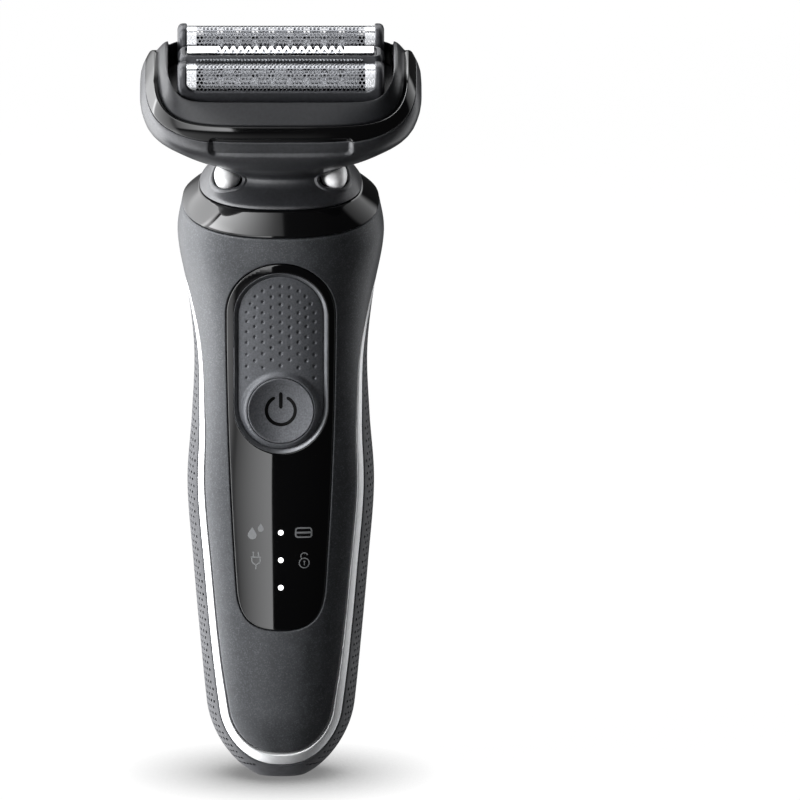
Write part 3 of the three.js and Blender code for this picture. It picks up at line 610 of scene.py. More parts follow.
def grained(name, colour, roughness, metallic, grain, contrast, bump, specular=0.5):
    """Finish with fine grain in its colour, roughness and surface."""
    n = Nodes(name)
    fine = n.noise(grain, 3)
    broad = n.noise(60, 2)
    uneven = n.spread(broad, roughness * 0.92, roughness * 1.08, 0.3, 0.7)
    n.surface(n.shades(fine, colour, contrast), uneven, metallic, specular)
    n.bump(fine, 0.5, bump)
    return n.material


def metallic_paint():
    """Dark grey paint with fine metallic flakes."""
    n = Nodes("metallic_grey_paint")
    flakes = n.cells(4300)
    glint = n.spread(flakes.outputs["Color"], 0, 1, 0.55, 1.0)
    haze = n.noise(420, 2)
    base = n.mix(n.spread(haze, 0, 1, 0.3, 0.7), (0.030, 0.032, 0.035), (0.038, 0.040, 0.044))
    n.surface(n.mix(glint, base, (0.075, 0.079, 0.086)), n.spread(haze, 0.40, 0.47, 0.3, 0.7), 0.35)
    n.bump(flakes.outputs["Distance"], 0.3, 0.012)
    return n.material


def gloss_plastic(name, colour, roughness=0.035, ior=1.5):
    """Deep gloss with a faint unevenness in its roughness and surface."""
    n = Nodes(name)
    haze = 0.012
    cloud = n.noise(35, 2)
    ripple = n.noise(14, 1)
    lift = tuple(c * 1.5 + 0.001 for c in colour)
    n.surface(n.mix(cloud, colour, lift), n.spread(cloud, roughness, roughness + haze, 0.3, 0.7))
    n.link(ior, n.shader.inputs["IOR"])
    n.bump(ripple, 0.05, 0.05)
    return n.material


def brushed(name, colour, roughness, scale=700, stretch=(0.05, 1, 1)):
    """Metal with fine lines along the direction that stretch makes small."""
    n = Nodes(name)
    lines = n.noise(scale, 3, stretch)
    uneven = n.spread(lines, roughness * 0.8, roughness * 1.2, 0.3, 0.7)
    n.surface(n.shades(lines, colour, 0.12), uneven, 1.0)
    n.bump(lines, 0.4, 0.006)
    return n.material


def foil_steel_with_painted_shade():
    """Thin steel, bright on the plain strips at both ends; between the holes its colour is painted darker as
    painted shade.
    """
    n = Nodes("foil_steel")
    lines = n.noise(900, 3, (0.04, 1, 1))
    across = n.add("ShaderNodeSeparateXYZ")
    n.link(n.place, across.inputs[0])
    distance = n.add("ShaderNodeMath", operation="ABSOLUTE")
    n.link(across.outputs[0], distance.inputs[0])
    edge = FOIL_HOLES_HALF_LENGTH * MM
    plain = n.spread(distance.outputs[0], 0, 1, edge - 0.1 * MM, edge)
    streak = n.spread(lines, 0, 1, 0.3, 0.7)
    # Painted shade: the steel between the holes gets a darker colour than the plain strips.
    mesh = n.mix(streak, (0.23, 0.235, 0.25), (0.3, 0.305, 0.32))
    strip = n.mix(streak, (0.74, 0.75, 0.77), (0.84, 0.85, 0.87))
    n.surface(n.mix(plain, mesh, strip), n.spread(lines, 0.2, 0.28, 0.3, 0.7), 1.0)
    n.bump(lines, 0.4, 0.006)
    return n.material


def light_material():
    n = Nodes("white_indicator")
    soft = n.noise(300, 1)
    n.surface(n.mix(soft, (0.9, 0.9, 0.9), (1, 1, 1)), 0.3)
    n.link((1, 1, 1, 1), n.shader.inputs["Emission Color"])
    n.link(n.spread(soft, 2.2, 2.8), n.shader.inputs["Emission Strength"])
    return n.material


def board_material():
    n = Nodes("green_board")
    lanes = n.cells(260)
    copper = n.spread(lanes.outputs["Distance"], 0, 1, 0.25, 0.3)
    n.surface(n.mix(copper, (0.012, 0.09, 0.035), (0.02, 0.16, 0.06)), n.spread(copper, 0.35, 0.5))
    n.bump(copper, 0.4, 0.04)
    return n.material


PAINT = metallic_paint()
GLOSS = gloss_plastic("gloss_black_plastic", (0.0012, 0.0012, 0.0014))
SHELL_GLOSS = gloss_plastic("gloss_black_shell", (0.0012, 0.0012, 0.0014), 0.05, ior=1.65)
NECK_GLOSS = gloss_plastic("gloss_black_ring", (0.002, 0.002, 0.0023), 0.05)
SATIN = grained("satin_dark_plastic", (0.014, 0.0146, 0.0165), 0.3, 0.2, 1400, 0.2, 0.006)
FRAME_SATIN = grained("satin_foil_frame", (0.03, 0.031, 0.035), 0.3, 0.3, 1400, 0.2, 0.006)
BASE_SATIN = grained("satin_head_base", (0.03, 0.031, 0.0345), 0.34, 0.3, 1300, 0.25, 0.006, specular=1.0)
RUBBER = grained("black_grip_rubber", (0.04, 0.041, 0.045), 0.62, 0.0, 700, 0.2, 0.02)
PAD = grained("textured_pad", (0.066, 0.069, 0.076), 0.5, 0.25, 2600, 0.3, 0.012)
BUTTON = grained("textured_button", (0.08, 0.083, 0.091), 0.44, 0.3, 2600, 0.3, 0.012)
# Painted highlight: the rim round the pad is the gloss panel's chamfer, given a lighter satin grey where it
# catches light.
RIM = grained("pad_rim_painted_highlight", (0.09, 0.093, 0.10), 0.3, 0.4, 900, 0.15, 0.005)
BAND = grained("satin_silver_band", (0.86, 0.87, 0.88), 0.34, 0.35, 1200, 0.05, 0.004)
PEARL = grained("pearl_release_button", (0.86, 0.865, 0.87), 0.42, 0.1, 1100, 0.08, 0.006)
STEEL = brushed("polished_steel", (0.72, 0.73, 0.75), 0.22)
FOIL = foil_steel_with_painted_shade()
COMB = brushed("comb_steel", (0.92, 0.92, 0.93), 0.25, 900)
CUTTER = brushed("cutter_steel", (0.32, 0.33, 0.35), 0.3, 600, (1, 0.05, 0.05))
CAN = brushed("motor_can_steel", (0.55, 0.56, 0.58), 0.3, 500, (1, 1, 0.05))
GOLD = brushed("gold_contact", (0.83, 0.60, 0.25), 0.22, 800, (1, 1, 0.1))
DARK = grained("dark_moulded_plastic", (0.018, 0.018, 0.02), 0.5, 0.0, 700, 0.25, 0.02)
ACETAL = grained("white_acetal", (0.78, 0.78, 0.75), 0.4, 0.0, 500, 0.05, 0.01)
SILICONE = grained("grey_silicone", (0.07, 0.073, 0.08), 0.6, 0.0, 600, 0.15, 0.015)
SLEEVE = grained("blue_cell_sleeve", (0.03, 0.14, 0.36), 0.35, 0.0, 300, 0.12, 0.01)
BOARD = board_material()
LIGHT = light_material()
ICON = grained("printed_icon", (0.16, 0.165, 0.17), 0.35, 0.0, 1500, 0.08, 0.002)
SYMBOL = grained("black_symbol", (0.001, 0.001, 0.001), 0.3, 0.0, 1200, 0.2, 0.002, specular=0.06)

SLOT_MATERIAL = {
    "housing_paint": PAINT,
    "gloss_black": GLOSS,
    "satin_dark": SATIN,
    "grip_rubber": RUBBER,
    "pad_plastic": PAD,
    "satin_silver": BAND,
    "button_silver": PEARL,
    "steel": STEEL,
    "foil_steel": FOIL,
    "dark_plastic": DARK,
    "white_lens": LIGHT,
    "board": BOARD,
    "cell_sleeve": SLEEVE,
    "motor_steel": CAN,
    "gold_contact": GOLD,
    "acetal": ACETAL,
    "silicone": SILICONE,
}


# ------------------------------------------------------------------ handle shells

def pits_sheet(place, columns, rows, radius, depth, keep_pit, floor=True):
    """Sheet of staggered tiles over the unit square, each with a round pit or hole in its middle.

    place(u, v) gives surface points. keep_pit(centres) is 1 where a tile has its pit and 0 elsewhere.
    """
    half_u, half_v = 1 / (2 * columns), 1 / (2 * rows)
    u, v = np.meshgrid(np.arange(2 * columns + 1) * half_u, np.arange(2 * rows + 1) * half_v)
    grid_u, grid_v = u.ravel(), v.ravel()
    width = 2 * columns + 1
    turn = np.arange(8) * math.pi / 4
    tiles = []
    edge_faces = []
    for row in range(rows):
        j = 2 * row
        shift = row % 2
        for column in range(columns - shift):
            i = 2 * column + shift
            tiles.append((i + 1, j + 1))
        if shift:
            for i in (0, 2 * columns - 1):
                edge_faces.append((j * width + i, j * width + i + 1, (j + 1) * width + i + 1,
                                   (j + 2) * width + i + 1, (j + 2) * width + i, (j + 1) * width + i))
    tiles = np.array(tiles)
    centre_u, centre_v = tiles[:, 0] * half_u, tiles[:, 1] * half_v
    centres = place(centre_u, centre_v)
    wide = np.linalg.norm(place(centre_u + half_u, centre_v) - place(centre_u - half_u, centre_v), axis=1)
    tall = np.linalg.norm(place(centre_u, centre_v + half_v) - place(centre_u, centre_v - half_v), axis=1)
    chosen = keep_pit(centres)
    rings = ((1.3, 0.0), (1.0, 0.0), (0.72, 1.0)) if floor else ((1.0, 0.0),)
    all_u, all_v, all_depth = [grid_u], [grid_v], [np.zeros(len(grid_u))]
    starts = []
    total = len(grid_u)
    for share, down in rings:
        starts.append(total)
        ring_u = centre_u[:, None] + share * radius / wide[:, None] * 2 * half_u * np.cos(turn)
        ring_v = centre_v[:, None] + share * radius / tall[:, None] * 2 * half_v * np.sin(turn)
        all_u.append(ring_u.ravel())
        all_v.append(ring_v.ravel())
        all_depth.append(np.repeat(chosen * down * depth, 8))
        total += 8 * len(tiles)
    offsets = [(1, 0), (1, 1), (0, 1), (-1, 1), (-1, 0), (-1, -1), (0, -1), (1, -1)]
    faces = list(edge_faces)
    for k, (i, j) in enumerate(tiles.tolist()):
        loops = [[(j + dj) * width + i + di for di, dj in offsets]]
        loops += [[start + 8 * k + c for c in range(8)] for start in starts]
        for outer, inner in zip(loops[:-1], loops[1:]):
            for c in range(8):
                d = (c + 1) % 8
                faces.append((outer[c], outer[d], inner[d], inner[c]))
        if floor or not chosen[k]:
            faces.append(tuple(loops[-1]))
    u, v = np.concatenate(all_u), np.concatenate(all_v)
    sheet = Sheet(place(u, v), normals_of(place, u, v), faces, np.concatenate(all_depth))
    sheet.drop_unused()
    return sheet


def handle_surface(angle, height):
    """The handle's surface; heights below zero run inwards over the flat bottom."""
    shrink = np.clip(1 + height / 6, 0.02, 1)
    points = handle_point(angle, np.maximum(height, 0))
    points[:, :2] *= shrink[:, None]
    return points


def top_edge(points):
    return HANDLE_TOP - (points[:, 2] - TOP_SLOPE * points[:, 1])


def handle_shells():
    bottom_rows = -np.linspace(5, 0.5, 8)
    heights = np.concatenate([
        bottom_rows, np.linspace(0, 20, 34), np.linspace(21, 100, 80), np.linspace(101, HANDLE_TOP, 34),
    ])
    angles = np.linspace(0, 2 * math.pi, 220, endpoint=False)

    front = surface_sheet(handle_surface, angles, heights[8:], wrap=True)
    front.trim(lambda p: -behind_parting(p) - GAP, 0.3)
    front.trim(lambda p: np.where(p[:, 1] < 0, -inside_panel(p) - GAP, 5), 0.3)
    front.trim(lambda p: top_edge(p) - 0.02, 0.7)
    stand_for(make_object("front_housing_shell", *front.thick(HOUSING_WALL), PAINT), "front_housing")

    band = surface_sheet(handle_surface, angles, heights[8:], wrap=True)
    band.trim(lambda p: behind_parting(p) - GAP, 0.22)
    band.trim(lambda p: BAND_WIDTH - GAP - behind_parting(p), 0.22)
    stand_for(make_object("side_trim_band", *band.thick(BAND_WALL), BAND), "trim_band")

    # The grip's tiles run all the way round from the front, evenly spaced at a middle height.
    fine = np.linspace(-math.pi / 2, 1.5 * math.pi, 1200)
    ring = handle_point(fine, np.full(len(fine), 65.0))
    walked = np.concatenate([[0], np.cumsum(np.linalg.norm(np.diff(ring, axis=0), axis=1))])
    walked /= walked[-1]

    def grip_place(u, v):
        return handle_surface(np.interp(u, walked, fine), 124 * v + 2.5)

    def away_from_edges(points):
        edge = behind_parting(points) - BAND_WIDTH
        return ((edge > 1.1) & (points[:, 2] < 122)).astype(float)

    grip = pits_sheet(grip_place, 74, 88, 0.36, 0.6, away_from_edges)
    grip.trim(lambda p: behind_parting(p) - BAND_WIDTH, 0.35)
    stand_for(make_object("rear_grip_cover", *grip.thick(GRIP_WALL), RUBBER), "rear_grip")

    base_heights = np.concatenate([bottom_rows, np.linspace(0, 2.5, 8)])
    base = surface_sheet(handle_surface, angles, base_heights, wrap=True)
    base.trim(lambda p: np.where(p[:, 2] < 1, -rounded_box(p[:, 0], p[:, 1], 4.0, 2.8, 2.6), 5), 0.3)
    belongs(make_object("rear_grip_foot", *base.thick(GRIP_WALL), RUBBER), "handle")


# ------------------------------------------------------------------ panel, pad and button

def turned(profile, centre_z, count=96):
    """Loops of a lathe body about an axis along Y at x = 0, from (radius, y) pairs."""
    turn = np.linspace(0, 2 * math.pi, count, endpoint=False)
    return [
        np.stack([r * np.cos(turn), np.full(count, y), centre_z + r * np.sin(turn)], axis=1)
        for r, y in profile
    ]


def front_sheet(xs, zs, inset=0.0):
    def place(x, z):
        return front_point(x, z, inset)
    return surface_sheet(place, xs, zs)


def axis_values(low, high, coarse, fine, places):
    """Grid values with a coarse step, and a fine step within 0.9 mm of some places."""
    values = [low]
    while values[-1] < high:
        near = any(abs(values[-1] - place) < 0.9 for place in places)
        values.append(values[-1] + (fine if near else coarse))
    return np.array(values)


LENS_HEIGHTS = {"top": 56.7, "middle": 50.55, "bottom": 44.4}
LENS_RADIUS = 0.55
# Share of the lens radius, distance behind the panel's surface.
LENS_PROFILE = (
    (0.9434, 1.24), (1.0, 0.14), (1.0, 0.01), (0.8868, -0.06), (0.6604, -0.11), (0.3396, -0.14),
)


def display_panel():
    xs = axis_values(-12.1, 12.1, 0.42, 0.16, [0])
    zs = axis_values(34, 119, 0.55, 0.16, LENS_HEIGHTS.values())
    panel = front_sheet(xs, zs)
    panel.trim(lambda p: inside_panel(p) - GAP / 2, 0.22)
    for height in LENS_HEIGHTS.values():
        panel.trim(lambda p: np.hypot(p[:, 0], p[:, 2] - height) - LENS_RADIUS - 0.04, 0.06)
    panel.trim(lambda p: -inside_slot(p, PAD_RADIUS + 0.42), 0.16)
    stand_for(make_object("display_panel_glass", *panel.thick(PANEL_WALL), GLOSS), "display_panel")

    for place, height in LENS_HEIGHTS.items():
        y = front_point(np.array([0.0]), np.array([height]))[0, 1]
        profile = [(LENS_RADIUS * share, y + behind) for share, behind in LENS_PROFILE]
        lens = make_object(f"indicator_light_{place}", *loft(turned(profile, height, 28)), LIGHT)
        stand_for(lens, f"indicator_lens_{place}")


def pad_rim():
    """Rolled rim between the panel's opening and the sunken pad, painted a lighter satin grey than the gloss
    panel: a painted highlight along the lit chamfer.
    """
    count = 160
    straight = PAD_HIGH - PAD_LOW
    arc = math.pi * PAD_RADIUS
    walk = np.linspace(0, 2 * (straight + arc), count, endpoint=False)
    profile = [  # outward offset from the pad's edge, depth below the surface
        (0.36, 0.3), (0.36, 0.06), (0.3, 0.0), (0.2, 0.05), (-0.42, 0.72), (-0.5, 0.84), (-0.52, 1.0),
        (-0.52, 1.5), (0.36, 1.5),
    ]
    loops = []
    for outward, depth in profile:
        radius = PAD_RADIUS + outward
        share = walk / (straight + arc)
        half = share.astype(int)
        along = walk - half * (straight + arc)
        turning = along > straight
        angle = np.where(turning, (along - straight) / PAD_RADIUS, 0) + half * math.pi
        x = radius * np.cos(angle)
        rise = np.where(turning, straight, along)
        z = np.where(half == 0, PAD_LOW + rise, PAD_HIGH - rise) + radius * np.sin(angle)
        surface = front_point(x, z)
        surface[:, 1] += depth
        loops.append(surface)
    rim = make_object("pad_opening_rim", *loft(loops, ring=True), RIM, flat_angle=60)
    belongs(rim, "handle")


PAD_DOTS = {  # distance from the middle line: heights
    0: (111.4, 109.3, 107.3, 105.3, 103.2, 101.1, 98.7, 96.2, 93.5),
    1.98: (111.2, 109.0, 106.6, 104.3, 102.1, 100.0, 97.5, 94.8),
    3.87: (110.3, 107.8, 105.3, 103.2, 101.0, 98.7, 96.1, 93.0),
    5.4: (109.0, 106.4),
    5.58: (104.3, 102.2, 99.8, 97.3, 94.5),
    6.5: (107.3,),
    7.3: (105.3, 103.2, 100.9, 98.5, 95.8, 93.2, 90.6),
}


def pad_dots():
    dots = []
    for x, heights in PAD_DOTS.items():
        for z in heights:
            dots += [(x, z)] if x == 0 else [(x, z), (-x, z)]
    return np.array(dots)


def thumb_pad():
    edge = PAD_RADIUS - 0.5
    xs = np.linspace(-edge - 0.1, edge + 0.1, 102)
    zs = np.linspace(PAD_LOW - edge - 0.1, PAD_HIGH + edge + 0.1, 205)
    pad = front_sheet(xs, zs, PAD_RECESS)
    pad.trim(lambda p: inside_slot(p, edge), 0.35)
    pad.normals = np.tile([0.0, -1.0, 0.0], (len(pad.points), 1))
    dots = pad_dots()

    def dot_depth(points):
        depth = np.zeros(len(points))
        for x, z in dots:
            distance = np.hypot(points[:, 0] - x, points[:, 2] - z)
            depth = np.maximum(depth, 0.3 * (1 - smoothstep(distance, 0.1, 0.42)))
        return depth

    pad.depth += dot_depth(pad.points)
    # The pad climbs into a raised collar around the button.
    away = np.hypot(pad.points[:, 0], pad.points[:, 2] - BUTTON_Z) - BUTTON_RADIUS
    collar = 1 - smoothstep(away, 0.15, 1.5)
    pad.depth -= collar * np.clip(pad.points[:, 1] - COLLAR_Y, 0, 2)
    pad.trim(lambda p: np.hypot(p[:, 0], p[:, 2] - BUTTON_Z) - BUTTON_RADIUS - 0.02, 0.06)
    stand_for(make_object("thumb_pad_cover", *pad.thick(PAD_WALL), PAD), "thumb_pad")


DISH_RADIUS = 7.0
DISH_MIDDLE = -14.5  # y of the dish at the button's axis
DISH_RISE = 1.17


def button_face(radius):
    """y of the dished face at a distance from the button's axis."""
    return DISH_MIDDLE - DISH_RISE * (np.minimum(radius, DISH_RADIUS) / DISH_RADIUS) ** 2.2


def power_button():
    rs = np.linspace(0.05, DISH_RADIUS, 26)
    face = [(r, float(button_face(r))) for r in rs]
    lip = [(7.1, -15.65), (7.18, -15.58), (7.2, -15.4)]
    profile = [*face, *lip, (7.2, -14.3), (7.0, -14.15), (2.0, -13.9), (2.0, -11.85), (0.05, -11.85)]
    button = make_object("power_button_cap", *loft(turned(profile, BUTTON_Z)), BUTTON)
    stand_for(button, "power_button")

    symbol_z = BUTTON_Z - 0.1

    def raised(points_2d, faces, name):
        """Thin plate that follows the dish, from a front-view outline mesh."""
        points_2d = np.array(points_2d)
        radius = np.hypot(points_2d[:, 0], points_2d[:, 1] - BUTTON_Z)
        y = button_face(radius)
        front = np.stack([points_2d[:, 0], y - 0.03, points_2d[:, 1]], axis=1)
        sheet = Sheet(front, np.tile([0.0, -1.0, 0.0], (len(front), 1)), faces)
        plate = make_object(name, *sheet.thick(0.16), SYMBOL)
        belongs(plate, "power_button")

    gap = math.radians(30)
    turn = np.linspace(math.pi / 2 + gap, 2.5 * math.pi - gap, 64)
    middle, half = 3.13, 0.365
    points = []
    for share in (-1, -0.5, 0, 0.5, 1):
        r = middle + share * half
        cap = math.sqrt(max(0, 1 - share**2)) * half / middle
        bend = np.linspace(-cap, cap, len(turn))
        points.append(np.stack([r * np.cos(turn + bend), symbol_z + r * np.sin(turn + bend)], axis=1))
    raised(np.concatenate(points), grid_faces(5, len(turn)), "power_symbol_ring")
    zs = np.linspace(0.35, 4.1, 16)
    points = []
    for share in (-1, -0.5, 0, 0.5, 1):
        stretch = math.sqrt(max(0, 1 - share**2)) * 0.4
        column = np.linspace(zs[0] + 0.4 - stretch, zs[-1] - 0.4 + stretch, 16)
        points.append(np.stack([np.full(16, 0.4 * share), symbol_z + column], axis=1))
    raised(np.concatenate(points), grid_faces(5, 16), "power_symbol_bar")


# ------------------------------------------------------------------ printed icons

def stroke(path, width, closed=False):
    """Front-view ribbon along a path: points and faces."""
    corners = [*path, path[0]] if closed else path
    steps = []
    for a, b in zip(np.array(corners[:-1], float), np.array(corners[1:], float)):
        pieces = max(1, math.ceil(np.linalg.norm(b - a) / 0.25))
        steps += [a + (b - a) * k / pieces for k in range(pieces)]
    path = np.array(steps if closed else [*steps, np.array(path[-1], float)])
    if closed:
        way = np.roll(path, -1, axis=0) - np.roll(path, 1, axis=0)
    else:
        ends = np.concatenate([path[:1] * 2 - path[1:2], path, path[-1:] * 2 - path[-2:-1]])
        way = ends[2:] - ends[:-2]
    way /= np.linalg.norm(way, axis=1, keepdims=True)
    side = np.stack([-way[:, 1], way[:, 0]], axis=1) * width / 2
    count = len(path)
    faces = []
    for i in range(count if closed else count - 1):
        j = (i + 1) % count
        faces.append((i, j, j + count, i + count))
    return np.concatenate([path + side, path - side]), faces


def arc(cx, cz, radius, start, end, count=24):
    turn = np.radians(np.linspace(start, end, count))
    return [(cx + radius * math.cos(a), cz + radius * math.sin(a)) for a in turn]


def box_path(cx, cz, half_x, half_z, radius):
    path = []
    for sx, sz, start in ((1, 1, 0), (-1, 1, 90), (-1, -1, 180), (1, -1, 270)):
        path += arc(cx + sx * (half_x - radius), cz + sz * (half_z - radius), radius, start, start + 90, 8)
    return path


def drop(cx, cz, radius, height):
    """Water drop outline, its round part centred on (cx, cz)."""
    lean_angle = math.degrees(math.acos(radius / height))
    return [(cx, cz + height), *arc(cx, cz, radius, 90 + lean_angle, 450 - lean_angle, 28)]


def icon(name, parts):
    """Joins ribbons and filled outlines into one thin plate on the panel."""
    points, faces = [], []
    for part_points, part_faces in parts:
        faces += [tuple(i + len(points) for i in face) for face in part_faces]
        points += [tuple(p) for p in np.asarray(part_points)]
    points = np.array(points)
    front = front_point(points[:, 0], points[:, 1])
    front[:, 1] -= 0.012
    sheet = Sheet(front, np.tile([0.0, -1.0, 0.0], (len(front), 1)), faces)
    belongs(make_object(name, *sheet.thick(0.05), ICON), "handle")


def filled(outline_points):
    """Fan of a convex-enough outline."""
    points = np.array(outline_points)
    centre = points.mean(axis=0)
    count = len(points)
    return np.concatenate([points, [centre]]), [(i, (i + 1) % count, count) for i in range(count)]


def icons():
    icon("icon_water_drops", [filled(drop(-6.2, 56.1, 0.95, 1.85)), filled(drop(-4.35, 57.5, 0.64, 1.35))])
    icon("icon_cassette", [
        stroke(box_path(4.95, 56.7, 1.72, 1.02, 0.55), 0.33, closed=True),
        stroke([(3.3, 56.7), (6.6, 56.7)], 0.42),
    ])
    plug = [(-6.5, 51.2), (-4.3, 51.2)]
    cup = [(-6.3, 51.2), *arc(-5.4, 50.5, 0.9, 180, 360, 20), (-4.5, 51.2)]
    icon("icon_plug", [
        stroke(plug, 0.26), stroke(cup, 0.26), stroke([(-5.4, 49.7), (-5.4, 48.5)], 0.26),
        stroke([(-5.95, 51.2), (-5.95, 52.4)], 0.26), stroke([(-4.85, 51.2), (-4.85, 52.4)], 0.26),
    ])
    icon("icon_travel_lock", [
        stroke(arc(5.1, 49.9, 1.08, 0, 360, 40)[:-1], 0.25, closed=True),
        stroke(arc(5.1, 51.4, 0.76, 20, 200, 20), 0.25),
        stroke([(5.1, 49.4), (5.1, 50.1)], 0.24),
        filled(arc(5.1, 50.25, 0.2, 0, 360, 16)[:-1]),
    ])


# ------------------------------------------------------------------ neck and head shells

AROUND = np.linspace(0, 2 * math.pi, 168, endpoint=False)


def neck_loop(share, inset, angle=AROUND):
    """Loop between the handle's top edge (share 0) and the collar plane (share 1)."""
    low = handle_point(angle, np.full(len(angle), HANDLE_TOP), inset)
    exponent = 2 / HANDLE_ROUNDNESS
    flat = np.stack([
        (COLLAR_HALF_WIDTH - inset) * power(np.cos(angle), exponent),
        (COLLAR_HALF_DEPTH - inset) * power(np.sin(angle), exponent),
        np.zeros(len(angle)),
    ], axis=1)
    top = flat @ COLLAR_ROTATION.T + np.array([0, 0, COLLAR_HEIGHT])
    inwards = share**1.2
    point = low * (1 - inwards) + top * inwards
    point[:, 2] = (low[:, 2] + GAP) * (1 - share) + top[:, 2] * share
    return point


def neck_ring():
    outer = [neck_loop(share, 0) for share in np.linspace(0, 1, 13)]
    inner = [neck_loop(share, 1.6) for share in (1, 0.5, 0)]
    corners = [*outer, *inner]
    radii = [0.35] + [0] * 11 + [0.5, 0.3, 0, 0.3]
    loops = rounded_loops(corners, radii)
    stand_for(make_object("neck_collar", *loft(loops, ring=True), NECK_GLOSS, flat_angle=50), "neck_ring")


def head_place(angle, t):
    """Head surface: t climbs to the level rim at 1, to the seam at 2 and to the shoulder at 3."""
    level = 0.3 + (HEAD_RIM - 0.3) * np.clip(t, 0, 1)
    to_seam = np.clip(t - 1, 0, 1)
    to_shoulder = np.clip(t - 2, 0, 1)

    def height_at(share, along):
        seam = seam_height(share)
        shoulder = shoulder_height(share, along)
        return level + (seam - HEAD_RIM) * to_seam + (shoulder - seam) * to_shoulder

    return head_loop(angle, height_at)


def head_shares(points):
    sizes = section(HEAD_SECTIONS, points[:, 2])
    return np.clip(np.abs(points[:, 0]) / sizes[:, 0], 0, 1), np.clip(points[:, 1] / sizes[:, 1], -1, 1)


def above_seam(points):
    return points[:, 2] - seam_height(head_shares(points)[0])


def below_shoulder(points):
    return shoulder_height(*head_shares(points)) - points[:, 2]


def finger_recess(points):
    """Distance inside the recess that crosses the seam at the front."""
    inside = rounded_box(points[:, 0], points[:, 2] - 17.3, 15.6, 2.6, 1.6)
    return np.where(points[:, 1] < 0, inside, -5)


RECESS_LEVELS = (-0.2, 0.05, 0.3, 0.6, 0.9)


def recess_depth(distance):
    return 0.65 * smoothstep(distance, -0.2, 0.9)


def ellipsoid_distance(points, centre, half):
    q = points - np.array(centre)
    near = np.linalg.norm(q / half, axis=1)
    slope = np.linalg.norm(q / (half * half), axis=1)
    return near * (near - 1) / np.maximum(slope, 1e-9)


RELEASE_HALF = np.array([3.1, 4.2, 2.7])
RELEASE_CENTRE = (11.7, -5.2, 3.1)
RELEASE_TRAVEL = 1.3
POCKET_MARGIN = 0.2
SPRING_INNER = 6.2  # inner end of a release spring


def head_base():
    rows = np.concatenate([
        np.linspace(0, 0.45, 38), np.linspace(0.47, 1, 22), np.linspace(1.12, 2, 8), [2.08],
    ])
    base = surface_sheet(head_place, np.linspace(0, 2 * math.pi, 260, endpoint=False), rows, wrap=True)
    base.trim(lambda p: 0.1 - above_seam(p), 0.28)
    base.emboss(finger_recess, RECESS_LEVELS, recess_depth)
    for side in (-1, 1):
        def outside_pocket(p, side=side):
            # The pocket is the button's shape swept along its travel.
            travelled = np.clip(RELEASE_CENTRE[0] - side * p[:, 0], 0, RELEASE_TRAVEL)
            moved = p + np.outer(travelled, [side, 0, 0])
            centre = (side * RELEASE_CENTRE[0], *RELEASE_CENTRE[1:])
            return ellipsoid_distance(moved, centre, RELEASE_HALF + POCKET_MARGIN)

        def lip(distance):
            return -0.28 * (1 - smoothstep(distance, 0.5, 1.0)) * (distance > -0.5)

        base.emboss(outside_pocket, (0.2, 0.5, 0.75, 1.0), lip)
        base.trim(outside_pocket, 0.2)
    foot = make_object("head_base_shell", *base.thick(HEAD_BASE_WALL), BASE_SATIN, HEAD_MATRIX)
    stand_for(foot, "head_base")


def release_buttons():
    u = np.linspace(0, 2 * math.pi, 56, endpoint=False)
    v = np.linspace(-math.pi / 2 + 0.03, math.pi / 2 - 0.03, 30)
    for name, side in (("left", -1), ("right", 1)):
        loops = []
        for tilt in v:
            ring = np.stack([
                np.full(len(u), math.sin(tilt)), math.cos(tilt) * np.cos(u), math.cos(tilt) * np.sin(u),
            ], axis=1)
            # Slightly flattened outer face with a soft dimple for the thumb.
            outward = side * ring[:, 0]
            dimple = np.clip(outward - 0.55, 0, 1) * 0.25
            ring[:, 0] -= side * dimple
            loops.append(ring * (RELEASE_HALF - 0.05) + [side * RELEASE_CENTRE[0], *RELEASE_CENTRE[1:]])
        button = make_object(f"release_button_{name}_cap", *loft(loops), PEARL, HEAD_MATRIX)
        stand_for(button, f"release_button_{name}")


def cassette_shell():
    rows = np.concatenate([[1.95], np.linspace(2, 3, 22)])
    shell = surface_sheet(head_place, np.linspace(0, 2 * math.pi, 260, endpoint=False), rows, wrap=True)
    shell.trim(lambda p: above_seam(p) - 0.1 - GAP, 0.2)
    shell.trim(lambda p: below_shoulder(p) - 0.01, 0.3)
    shell.emboss(finger_recess, RECESS_LEVELS, recess_depth)
    body = make_object("cassette_outer_shell", *shell.thick(CASSETTE_WALL), SHELL_GLOSS, HEAD_MATRIX)
    stand_for(body, "cassette_shell")


TRAY_TOP = 21.1  # top of the tray that the bezel and the float springs stand on


def opening_loop(height_at, grow, angle):
    """Nearly square loop round the opening that the foils stand in."""
    width, depth = 24.4 + grow, 13.6 + grow
    exponent = 2 / 8
    x, y = width * power(np.cos(angle), exponent), depth * power(np.sin(angle), exponent)
    return np.stack([x, y, height_at(np.abs(x / width), y / depth)], axis=1)


def cassette_bezel():
    angle = np.linspace(0, 2 * math.pi, 240, endpoint=False)
    inset = 1.02
    shoulder = head_loop(angle, shoulder_height, inset)
    rim = opening_loop(rim_height, 0, angle)
    crowns = []
    for share in np.linspace(0.1, 0.9, 9):
        crown = shoulder * (1 - share) + rim * share
        crown[:, 2] += 3.4 * share * (1 - share) * smoothstep(crown[:, 2], 25.5, 29.5)
        crowns.append(crown)
    corners = [
        head_loop(angle, lambda s, a: shoulder_height(s, a) - 1.2, inset + 0.2),
        shoulder,
        *crowns,
        rim,
        *[opening_loop(lambda s, a: np.full(len(s), TRAY_TOP), grow, angle) for grow in (0, 0.7)],
    ]
    loops = rounded_loops(corners, [0, 0.3, *[0] * len(crowns), 0.7, 0.2, 0], steps=5)
    points, faces = loft(loops, ring=True)
    bezel = make_object("cassette_sloped_bezel", points, faces, SATIN, HEAD_MATRIX, flat_angle=50)
    stand_for(bezel, "cassette_bezel")


# ------------------------------------------------------------------ foils and trimmer

